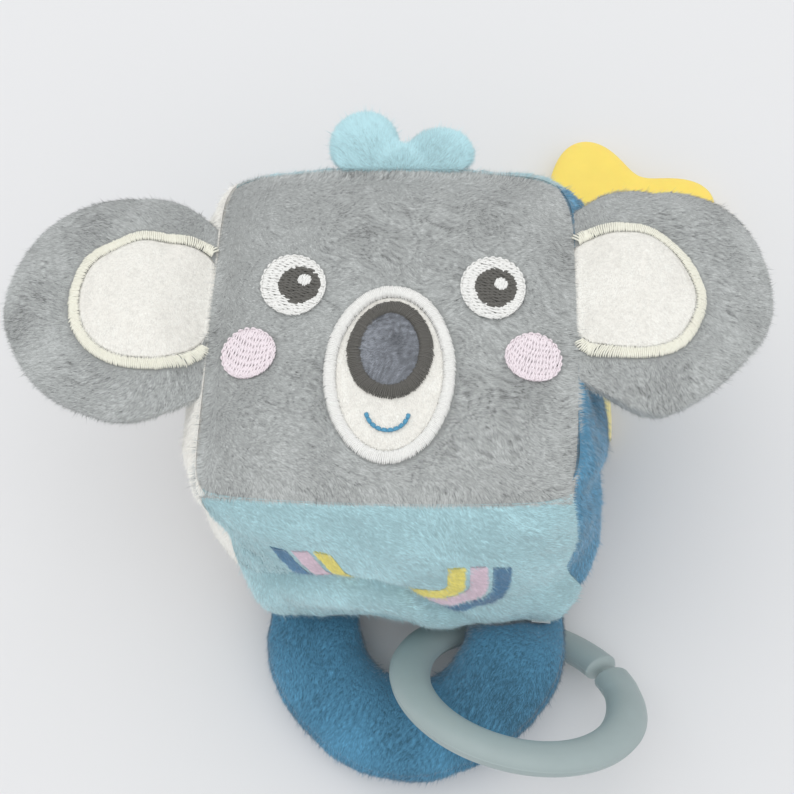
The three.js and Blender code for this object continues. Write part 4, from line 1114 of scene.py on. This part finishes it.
def make_rainbow():
    count, half = FIBRES["rainbow"], RAINBOW_WIDTH / 2
    for i, colour in enumerate(("yellow", "pink", "blue")):
        slot, seed = "cloth_" + colour, SEED["rainbow"] + i
        line = rainbow_line(i)
        s = np.linspace(-1, 1, 9)
        x, z = band(line, s * half)
        upper, lower = (on_bottom(x, z, w)[0] for w in (0.1 + 0.3 * (1 - s**4), -0.3))
        sewn("rainbow_cloth_" + colour, slab(upper, lower), slot, "cube", ("rainbow_" + colour,))
        rng = np.random.default_rng(seed)
        run = distances(line)
        d, k = rng.uniform(0, run[-1], count), rng.uniform(-1, 1, count)
        side = at_run(left_of(unit(np.gradient(line, axis=0))), run, d)
        x, z = folded(*(at_run(line, run, d) + side * k[:, None] * half).T)
        shown = z >= np.interp(x, CREASE_X, CREASE_Z)
        spots, normals = on_bottom(x[shown], z[shown], 0.3)
        pile("rainbow_pile_" + colour, spots, normals, np.array(RAINBOW_NAP), slot, "cube", seed + 5,
             length=1.0, width=0.12, lie=30)


# Ears
def ear_reach(side, t):
    wobble = 1 + 0.01 * np.cos(3 * t + 1) + 0.006 * np.cos(7 * t)
    skew = np.where(t > 0, EAR_SKEW[side], EAR_SKEW_LOW[side])
    wobble = wobble + skew * np.sin(2 * t) * (np.cos(t) > 0)
    for height, at, wide in EAR_BUMPS[side]:
        wobble = wobble + height * bell(t - at, wide)
    return cut_straight(EAR_R * wobble, t, -EAR_TUCK - EAR_OUT)


def ear_polar(side, u, v):
    t = np.arctan2(v, u - EAR_OUT)
    return np.minimum(1, np.hypot(u - EAR_OUT, v) / ear_reach(side, t)), t


def ear_half(side, u, v, inset=0.0):
    s, _ = ear_polar(side, u, v)
    full = (1 - s * s) ** 0.55 * smooth(u, -EAR_TUCK, EAR_FLAT)
    return EAR_RIM + (EAR_HALF - PAD_INSET - inset) * full


def ear_side(side, height, place=stack):
    """One side of an ear, s of the way from its middle to its edge in direction t."""
    def at(s, t):
        spot = polar((EAR_OUT, 0), s * ear_reach(side, t), t)
        u, v = spot[..., 0], spot[..., 1]
        return place(u, v, np.where(s >= 1, 0, height(u, v)))
    return at


def ear_stuffing(side):
    """How far the stuffing moves the ear's front and back cloth from the plain form, over rings and turns."""
    rings = rim_steps(RIM_START, EAR_RINGS)

    def pad(inset):
        half = lambda u, v: ear_half(side, u, v, inset)
        return lens(ear_side(side, half), ear_side(side, lambda u, v: -half(u, v)), rings, EAR_TURNS)

    plain = pad(0)[0]
    start, faces = pad(EAR_INSET)
    edge, order = EAR_RINGS * EAR_TURNS, np.arange(len(start))
    held = (start[:, 0] < 1) | ((order >= edge - EAR_TURNS) & (order < edge))
    moved = start + settled(start, faces, held, EAR_CAP, EAR_SPARE, plain - start) - plain
    front = moved[:edge].reshape(EAR_RINGS, EAR_TURNS, 3)[..., 2:]
    back = moved[edge:-2].reshape(EAR_RINGS - 1, EAR_TURNS, 3)[..., 2:]
    return finer(front, True), finer(np.concatenate([back, back[-1:] * 0]), True)


EAR_STUFFING = {side: ear_stuffing(side) for side in SIDES}


def ear_puff(side, u, v, over):
    s, t = ear_polar(side, u, v)
    ring = (np.arcsin(np.clip(s, 0, 1)) - RIM_START) / (np.pi / 2 - RIM_START) * (EAR_RINGS - 1) * FINER
    turn = (t % (2 * np.pi)) / (2 * np.pi) * EAR_TURNS * FINER
    return spread(EAR_STUFFING[side][0 if over else 1], ring, turn, True)[..., 0]


def patch_reach(side, r, t):
    """An ear patch's outline: round outside, squarer towards the cube."""
    inner = np.where(np.sin(t) > 0, EAR_PATCH_SQUARE[side], EAR_PATCH_SQUARE_LOW)
    n = np.where(np.cos(t) < 0, inner, 2)
    return r / (np.abs(np.cos(t)) ** n + np.abs(np.sin(t)) ** n) ** (1 / n)


def patch_off(side, u, v, r):
    """Distance outside an ear patch's outline grown to reach r."""
    du, dv = u - EAR_PATCH_OUT[side], v - EAR_PATCH_RISE
    return np.hypot(du, dv) - patch_reach(side, r, np.arctan2(dv, du))


def ear_world(side, u, v, w):
    x, z, turn = SIDES[side] * u, w, math.radians(EAR_DROOP[side]) * SIDES[side]
    at = EAR_AT[side]
    return stack(x * math.cos(turn) + z * math.sin(turn) + at[0], v + at[1],
                 -x * math.sin(turn) + z * math.cos(turn) + at[2])


def ear_front(side, u, v):
    groove = -0.8 * bell(patch_off(side, u, v, EAR_PATCH_R + 1.8), 2.2) * smooth(u, 0, 6)
    lumps = 0.35 * waves(stack(u, v), 19, SEED["ear_lumps"] + SIDES[side])
    lumps = lumps * smooth(EAR_R + EAR_OUT - u, 2, 14)
    half = ear_half(side, u, v)
    return half + ear_puff(side, u, v, True) + (groove + lumps) * smooth(half, 0.8, 4)


def ear_dip(u):
    """How far an ear sinks into the seam at its root."""
    return -2.2 * (1 - smooth(u, -1.5, 8)) - 3.5 * (1 - smooth(u, -3, -0.5))


def make_ear(side):
    sign, body, seed = SIDES[side], "ear_" + side, SEED["ear"] + SIDES[side]
    origin = ear_world(side, 0, 0, 0)
    out = ear_world(side, 1, 0, 0) - origin
    blend = tuple((origin - out * EAR_BEND[0]) * MM), tuple((origin + out * EAR_BEND[1]) * MM)
    dipped = lambda u, v, w: ear_world(side, u, v, w + ear_dip(u))
    front = ear_side(side, lambda u, v: ear_front(side, u, v), dipped)
    back = ear_side(side, lambda u, v: ear_puff(side, u, v, False) - ear_half(side, u, v), dipped)
    shape = lens(front, back, rim_steps(RIM_START, 44), 180)
    nodes = [f"ear_{k}_{side}" for k in ("front", "back", "filling")]
    sewn("ear_pad_" + side, shape, "plush_grey", body, nodes, blend)
    rng = np.random.default_rng(seed)
    spots, normals = sample(*shape, FIBRES["ear"], rng)
    inward = np.linalg.inv(np.array([ear_world(side, *e) - origin for e in np.eye(3)]))
    u, v, _ = ((spots - origin) @ inward).T
    bare = (normals[:, 2] > 0) & (patch_off(side, u, v, EAR_PATCH_R + EAR_PATCH_BARE) < 0)
    keep = ~(bare | (u < -2))
    nap = stack(0.5, -0.3 - 0.02 * v, 0) + unit(stack(u - EAR_OUT, v, 0)) * 0.7
    nap = nap * np.array([sign, 1, 1])
    pile("ear_pile_" + side, spots[keep], normals[keep], nap[keep], "plush_grey", body, seed + 5, blend=blend)

    centre = (EAR_PATCH_OUT[side], EAR_PATCH_RISE)

    def reach(t):
        return cut_straight(patch_reach(side, EAR_PATCH_R + 0.4, t), t, EAR_PATCH_START - centre[0])

    def place(u, v, w):
        at = lambda a, b: dipped(a, b, ear_front(side, a, b))
        return raised(at(u, v), facing(at, u, v, sign, 0.05), w)

    shaped = (place, centre, reach, EAR_PATCH_LOW, EAR_PATCH_DOME)
    patch("ear_patch_cloth_" + side, *shaped, "plush_cream", body, ("ear_patch_" + side,), blend)
    spots, normals = patch_spots(*shaped, FIBRES["ear_patch"], rng)
    pile("ear_patch_pile_" + side, spots, normals, np.array([0.1 * sign, -1, 0]), "plush_cream", body,
         seed + 9, length=0.9, width=0.11, lie=34, blend=blend)
    t = np.linspace(-np.pi, np.pi, 400)
    path = polar(centre, patch_reach(side, EAR_PATCH_R + 0.3 + SATIN_WIDTH / 2, t), t)
    path = path[path[:, 0] > EAR_BORDER_START]
    satin("ear_satin_" + side, place, path, False, "thread_cream", body, ("ear_border_" + side,), seed + 13,
          high=1.0, blend=blend)


# Hair tuft
def make_tuft():
    turn = math.radians(TUFT_DROOP)

    def world(x, y, w):
        tilted = stack(x, y * math.cos(turn) + w * math.sin(turn), -y * math.sin(turn) + w * math.cos(turn))
        return tilted + np.array(TUFT_AT)

    def lock(x, out, rx, ry):
        def face(sign):
            def at(s, t):
                px, py = x + s * rx * np.cos(t), out + s * ry * np.sin(t)
                full = np.maximum(0, 1 - s * s) ** 0.5 * smooth(py, -TUFT_TUCK, TUFT_FLAT)
                w = (TUFT_RIM + (TUFT_HALF - TUFT_INSET) * full) * sign
                return world(px, np.maximum(py, -TUFT_TUCK), np.where(s >= 1, 0, w))
            return at
        return lens(face(1), face(-1), rim_steps(TUFT_RIM_START, 20), 80)

    rough = joined([lock(*sizes) for sizes in LOCKS])
    points, faces = modified(rough, {"REMESH": {"mode": "VOXEL", "voxel_size": TUFT_VOXEL * MM},
                                     "SMOOTH": {"factor": 0.5, "iterations": 6}})
    held = points[:, 1] < TUFT_AT[1] + 0.5
    points = points + settled(points, faces, held, TUFT_CAP, TUFT_SPARE, 0)
    shape = modified((points, faces), {"SUBSURF": {"levels": 2}})
    blend = tuple(tuple(world(0.0, y, 0.0) * MM) for y in (-TUFT_BEND[0], TUFT_BEND[1]))
    sewn("tuft_pad", shape, "plush_teal", "tuft", ("tuft_front", "tuft_back"), blend)
    spots, normals = sample(*shape, FIBRES["tuft"], np.random.default_rng(SEED["tuft"]))
    keep = spots[:, 1] > TUFT_AT[1] - 1.5
    nap = stack(0.5 * np.tanh((spots[:, 0] - 1) / 5), 1, -0.3)
    # painted highlight: the tuft's pile is painted paler all over
    pile("tuft_pile", spots[keep], normals[keep], nap[keep], "plush_teal", "tuft", SEED["tuft"] + 2,
         length=1.8, width=0.1, lie=46, blend=blend, brushing_and_painted_light=0.42, stray=0.02)


# Handle and link ring
def link_axes():
    lean, tilt = math.radians(LINK_LEAN), math.radians(LINK_TILT)
    x = np.array([math.cos(lean), 0, -math.sin(lean)])
    y = np.array([0, -math.cos(tilt), math.sin(tilt)])
    y = unit(y - x * (x @ y))
    return np.stack([x, y, np.cross(x, y)])


LINK_AXES = link_axes()


def handle_at(d):
    """Middle line of the handle at distance d along it, the way out from its centre, and half its height."""
    turn = np.clip((d - HANDLE_LEG) / HANDLE_R, 0, np.pi)
    up = np.maximum(0, np.maximum(HANDLE_LEG - d, d - HANDLE_LEG - np.pi * HANDLE_R))
    root = 3 * HANDLE_TUCK
    near = (np.minimum(d, HANDLE_LENGTH - d) - root) / (HANDLE_SWELL - root)
    swollen = np.sin(np.pi / 2 * np.clip(near, 0, 1))
    half = HANDLE_ROOT_HALF + (HANDLE_HALF_HEIGHT - HANDLE_ROOT_HALF) * swollen
    right = 1 - smooth(d, HANDLE_SWELL, HANDLE_SWELL + HANDLE_R)
    left = smooth(d, HANDLE_LENGTH - HANDLE_SWELL, HANDLE_LENGTH - root)
    floor = HANDLE_FLOOR + HANDLE_LIFT * right + BACK_SEAM_Z * left
    out = stack(np.cos(turn), -np.sin(turn), 0)
    return stack(0, up, floor + half) + out * HANDLE_R + np.array(HANDLE_AT), out, half


def from_link(p, spare):
    """Points in the link's axes, their radius, and their place across its tube, made wider by spare."""
    q = (p - np.array(LINK_AT)) @ LINK_AXES.T
    r = np.hypot(q[..., 0], q[..., 1])
    return q, r, (r - LINK_R) / (LINK_HALF_WIDTH + spare), q[..., 2] / (LINK_HALF_THICK + spare)


def clear_of_link(p, spare):
    """Cloth pushed aside where the link ring's tube passes through it."""
    q, r, a, w = from_link(p, spare)
    e, far = np.maximum(np.hypot(a, w), 0.05), 1.5
    grow = np.where(e < far, (1 + (far - 1) * (e / far) ** 2) / e, 1)
    ring = LINK_R + a * grow * (LINK_HALF_WIDTH + spare)
    q = stack(q[..., 0] * ring / r, q[..., 1] * ring / r, w * grow * (LINK_HALF_THICK + spare))
    return q @ LINK_AXES + np.array(LINK_AT)


def clear_of_cube(p, spare):
    a, c = bottom_uv(p[..., 0], np.clip(p[..., 2], BACK_SEAM_Z, None))
    wall = panel_at("bottom", a, c)[..., 1] - BACKING - spare
    moved = p.copy()
    moved[..., 1] = np.where(p[..., 2] > BACK_SEAM_Z - 2, np.minimum(p[..., 1], wall), p[..., 1])
    return moved


def handle_loops(d, k, inset):
    """Middle line and rings of points of the plain handle, drawn in by an inset."""
    middle, out, half = handle_at(d)
    squared = lambda t: np.sign(t) * np.abs(t) ** HANDLE_SQUARE
    across = squared(np.cos(k))[None] * (HANDLE_HALF_WIDTH - inset)
    up = squared(np.sin(k))[None] * np.maximum(0.4, half - inset)[:, None]
    return middle, middle[:, None] + out[:, None] * across[..., None] + stack(0, 0, up)


def handle_steps(rings, turns):
    return np.linspace(HANDLE_END, HANDLE_LENGTH - HANDLE_END, rings), round_steps(turns)


def handle_stuffing():
    """How far the stuffing moves the handle's cloth from the plain form, along it and round it."""
    d, k = handle_steps(HANDLE_RINGS, HANDLE_TURNS)
    plain = handle_loops(d, k, PAD_INSET)[1]
    shape = tube(handle_loops(d, k, PAD_INSET + HANDLE_INSET)[1])
    back = tube(plain)[0] - shape[0]
    root = np.repeat(np.minimum(d, HANDLE_LENGTH - d) < 3, HANDLE_TURNS)
    held = np.concatenate([root, [True, True]]) | (shape[0][:, 2] < 1.2)
    moved = settled(*shape, held, HANDLE_CAP, HANDLE_SPARE, back) - back
    return finer(moved[:-2].reshape(plain.shape), True)


def make_handle():
    d, k = handle_steps(200, 120)
    middle, loops = handle_loops(d, k, PAD_INSET)
    run, turn = grid((d - HANDLE_END) / (HANDLE_LENGTH - 2 * HANDLE_END) * (HANDLE_RINGS - 1) * FINER,
                     k / (2 * np.pi) * HANDLE_TURNS * FINER)
    loops = loops + spread(handle_stuffing(), run, turn, True)
    radial = unit(loops - middle[:, None])
    outer, inner = (np.angle(np.exp(1j * (k - at))) for at in (HANDLE_SEAM_TURN, np.pi))
    seed = SEED["handle"]
    lumps = 0.3 * waves(loops, 30, seed) + 0.15 * waves(loops, 11, seed + 1)
    pucker = np.sin(d / 1.1 + 2 * waves(middle, 20, seed + 2))[:, None] * bell(outer, 0.3)[None]
    seams = zip((outer, inner), HANDLE_SEAMS)
    seam = sum(deep * bell(off, wide) for off, rows in seams for deep, wide in rows)
    full = smooth(np.minimum(d, HANDLE_LENGTH - d), 2, 18)[:, None]
    loops = loops + radial * ((lumps + 0.16 * pucker - seam[None]) * full)[..., None]
    loops = clear_of_cube(clear_of_link(loops, HANDLE_SPACE), HANDLE_SPACE)
    loops[..., 2] = np.maximum(loops[..., 2], HANDLE_LOW)
    shape = tube(loops)
    bend = [(HANDLE_AT[0], HANDLE_SEAM_Y - off, BACK_SEAM_Z) for off in (0, HANDLE_BEND)]
    blend = tuple(tuple(c * MM for c in at) for at in bend)
    nodes = ("handle_upper", "handle_lower", "handle_filling")
    sewn("handle_pad", shape, "plush_blue", "handle", nodes, blend)
    spots, normals = sample(*shape, FIBRES["handle"], np.random.default_rng(seed + 4))
    *_, a, w = from_link(spots, LINK_BARE)
    keep = (np.hypot(a, w) > 1) & (spots[:, 2] > HANDLE_ROOT_LOW) & (spots[:, 1] < HANDLE_SEAM_Y)
    spots, normals = spots[keep], normals[keep]
    # painted shade: the handle's pile is darker all over and darker still towards its right leg, where the
    # cube and ring shade it
    pile("handle_pile", spots, normals, np.array([-0.35, -1, -0.15]), "plush_blue", "handle", seed + 6,
         blend=blend, brushing_and_painted_light=-0.3 - 0.3 * smooth(spots[:, 0], 14, 34))


def make_label():
    x, y = grid(np.linspace(-1, 1, 13) * LABEL_WIDTH / 2 + HANDLE_R + LABEL_OUT,
                np.linspace(LABEL_START, LABEL_START - LABEL_LENGTH, 24))
    at, _, tall = handle_at(HANDLE_LEG - y)
    side = np.clip(np.abs(x - HANDLE_R) / HANDLE_HALF_WIDTH, 0, 1)
    top = at[..., 2] + tall * (1 - side * side) ** 0.42 + LABEL_LIFT
    flat = stack(x + HANDLE_AT[0], y + HANDLE_AT[1], top)
    mesh = new_mesh("label", *slab(flat + np.array([0, 0, LABEL_THICK]), flat))
    mat = ribbon_material("label_white", LABEL)
    piece("label_ribbon", mesh, mat, "handle", ("care_label",))


def make_link():
    gap = LINK_GAP / 2 / LINK_R
    first, run = math.radians(LINK_GAP_AT) + gap, 2 * np.pi - 2 * gap
    marks = [0, LINK_CAP, LINK_END, run - LINK_END, run - LINK_CAP, run]
    steps = [np.linspace(a, b, n)[1:] for a, b, n in zip(marks, marks[1:], (14, 24, 220, 24, 14))]
    t = np.concatenate([[0], *steps])

    def grown(near, knob, neck):
        cap = np.sqrt(np.clip(1 - (1 - np.clip(near / LINK_CAP, 0, 1)) ** 2, 0.02, 1))
        return cap * (1 + (knob - 1) * bell(near - LINK_CAP, 0.1) - neck * bell(near - LINK_NECK, 0.1))

    grow = np.minimum(grown(t, 1.06, 0.03), grown(run - t, 1.04, 0))[:, None]
    k = round_steps(90)
    fine = np.linspace(-0.12, 0.12, 15)  # closer steps over the parting line's ridge
    k = np.unique(np.concatenate([k[np.abs(np.sin(k)) > 0.13], fine % (2 * np.pi), np.pi + fine]))
    ridge = 1 + 0.035 * bell(np.sin(k), 0.045)
    r = LINK_R + grow * LINK_HALF_WIDTH * (np.cos(k) * ridge)[None]
    w = grow * LINK_HALF_THICK * (np.sin(k) * ridge)[None]
    angle = (first + t)[:, None]
    points, faces = tube(stack(r * np.cos(angle), r * np.sin(angle), w) @ LINK_AXES + np.array(LINK_AT))
    points[:, 2] = np.maximum(points[:, 2], LOWEST)
    mat = moulded_material("ring_plastic", RING, 0.42, 3000)
    piece("link", new_mesh("link", points, faces), mat, "link", ("link_ring",))


# Star teether, its loop, and the ribbon tag
def make_star():
    turn, eyelet = math.radians(STAR_TURN), math.radians(STAR_EYELET)
    eye = np.array([math.cos(eyelet), math.sin(eyelet)]) * (STAR_R + STAR_WAVE - STAR_HOLE_IN)

    def face(sign):
        def at(s, t):
            r = s * (STAR_R + STAR_WAVE * np.cos(5 * t))
            x, y = r * np.cos(t), r * np.sin(t)
            full = smooth(np.hypot(x - eye[0], y - eye[1]), STAR_TAB_R, STAR_TAB_R + STAR_TAB_BLEND)
            half = (STAR_TAB_HALF + (STAR_HALF - STAR_TAB_HALF) * full) * np.sqrt(np.maximum(0, 1 - s**7))
            return stack(x, y, sign * half)
        return at

    points, faces = lens(face(1), face(-1), rim_steps(RIM_START, 40), 240)
    points = points @ spun(turn).T + np.array(STAR_AT)
    hung = np.linalg.norm(points[:, :2] - np.array(LOOP_AT[:2]), axis=1)
    points[:, 0] -= STAR_BEND * smooth(hung, STAR_BEND_FROM, STAR_BEND_TO)
    star = placed("star_rough", new_mesh("star", points, faces))
    ring = polar(eye, STAR_HOLE_R, round_steps(48))
    hole = np.stack([stack(ring[:, 0], ring[:, 1], z) for z in (-12, 12)])
    drill = placed("drill", new_mesh("drill", *tube(hole @ spun(turn).T + np.array(STAR_AT))))
    cut = star.modifiers.new("eyelet", "BOOLEAN")
    cut.object, cut.operation, cut.solver = drill, "DIFFERENCE", "EXACT"
    bored = bpy.data.meshes.new_from_object(star.evaluated_get(bpy.context.evaluated_depsgraph_get()))
    for used in (star, drill):
        bpy.data.objects.remove(used)
    bored.materials.clear()
    mat = moulded_material("star_rubber", STAR, 0.55, 2200, 0.15)
    piece("star", bored, mat, "star", ("star_teether",))

    t, k = grid(round_steps(64), round_steps(20))
    weave = 1 + 0.05 * np.sin(24 * t + 2 * k)
    local = stack((LOOP_LONG + LOOP_THICK * weave * np.cos(k)) * np.cos(t), LOOP_WIDE * weave * np.sin(k),
                  (LOOP_HIGH + LOOP_THICK * weave * np.cos(k)) * np.sin(t))
    spin = spun(turn + eyelet)
    mesh = new_mesh("star_cord_loop", *tube(local @ spin.T + np.array(LOOP_AT), closed=True))
    blend = tuple(tuple((np.array(LOOP_AT) + spin[:, 0] * reach) * MM) for reach in LOOP_BEND)
    mat = ribbon_material("ribbon_loop", RIBBON)
    piece("star_cord_loop", mesh, mat, "loop", ("star_loop",), blend)


def make_tag():
    fold = TAG_OUT - TAG_FOLD_IN
    t = np.linspace(-np.pi / 2, np.pi / 2, 24)
    bend = stack(fold + TAG_FOLD_R * np.cos(t), 0, TAG_FOLD_R * np.sin(t) - TAG_DROP)
    s = np.linspace(0, 1, 24)[:-1]
    low, high = (stack(s * fold, 0, leaf + (end - leaf) * smooth(s, 0, 1))
                 for leaf, end in ((-TAG_LEAF, bend[0, 2]), (TAG_LEAF, bend[-1, 2])))
    path = np.concatenate([low, bend, high[::-1]])
    ahead = unit(np.gradient(path, axis=0))
    side = stack(-ahead[:, 2], 0, ahead[:, 0])[:, None]
    k = np.linspace(-1, 1, 15)
    curl = TAG_CURL * (k**2)[None, :, None] * side * smooth(path[:, 0], 2, 8)[:, None, None]
    middle = path[:, None] + (k[:, None] * np.array([0, TAG_WIDTH / 2, 0]))[None] + curl + np.array(TAG_AT)
    mesh = new_mesh("tag", *slab(middle + side * TAG_HALF, middle - side * TAG_HALF))
    mat = ribbon_material("ribbon_yellow", RIBBON)
    tag = piece("tag_ribbon", mesh, mat, "tag", ("ribbon_tag",))


# Rattle, which keeps the part's own solids
def dress_rattle():
    shell = moulded_material("rattle_shell", SHELL, 0.35, 1800)
    bead = moulded_material("rattle_bead", BEAD, 0.4, 1800)
    for name, made in frame["nodes"].items():
        if name.startswith("rattle_"):
            made.data.materials.clear()
            made.data.materials.append(bead if "bead" in name else shell)


# Camera, light and floor
CAMERA_AT, CAMERA_TURN, FOCAL, PICTURE = (19.34, -153.66, 386.32), (7.398, 24.382, -5.896), 1400, 794
SENSOR, CLIP_END = 36, 20
SKY, SKY_STRENGTH, SUN_SPREAD = (0.98, 0.99, 1.0, 1), 0.84, 70
SUNS = {"key": ((-0.2, 0.3, 1.0), 0.55), "fill": ((0.25, -0.5, 1.0), 0.4)}  # where from, and how strong
FLOOR_HALF = 3000


def make_stage():
    camera = bpy.data.cameras.new("camera")
    camera.sensor_width, camera.lens, camera.clip_end = SENSOR, FOCAL / PICTURE * SENSOR, CLIP_END
    scene.camera = placed("camera", camera)
    yaw, tilt, roll = (math.radians(a) for a in CAMERA_TURN)
    turn = Matrix.Rotation(yaw, 4, "Z") @ Matrix.Rotation(tilt, 4, "X") @ Matrix.Rotation(roll, 4, "Z")
    scene.camera.matrix_world = Matrix.Translation(Vector(CAMERA_AT) * MM) @ turn

    scene.world = bpy.data.worlds.new("studio")
    scene.world.use_nodes = True
    with_inputs(scene.world.node_tree.nodes["Background"], {"Color": SKY, "Strength": SKY_STRENGTH})
    for name, (at, power) in SUNS.items():
        lamp = bpy.data.lights.new(name, "SUN")
        lamp.angle, lamp.energy = math.radians(SUN_SPREAD), power
        made = placed(name, lamp)
        made.location = at
        made.rotation_euler = (-Vector(at)).to_track_quat("-Z", "Y").to_euler()

    mat = material("floor", Roughness=0.7, Specular_IOR_Level=0.2, Base_Color=linear(FLOOR))[0]
    corners = np.array([[-1, -1, 0], [1, -1, 0], [1, 1, 0], [-1, 1, 0]]) * FLOOR_HALF
    mesh = new_mesh("floor", corners, [np.array([[0, 1, 2, 3]])])
    mesh.materials.append(mat)
    floor = placed("floor", mesh)
    scene.view_settings.view_transform = "Standard"


make_stage()
make_panels()
make_face()
make_rainbow()
for side in SIDES:
    make_ear(side)
make_tuft()
make_handle()
make_label()
make_link()
make_star()
make_tag()
dress_rattle()
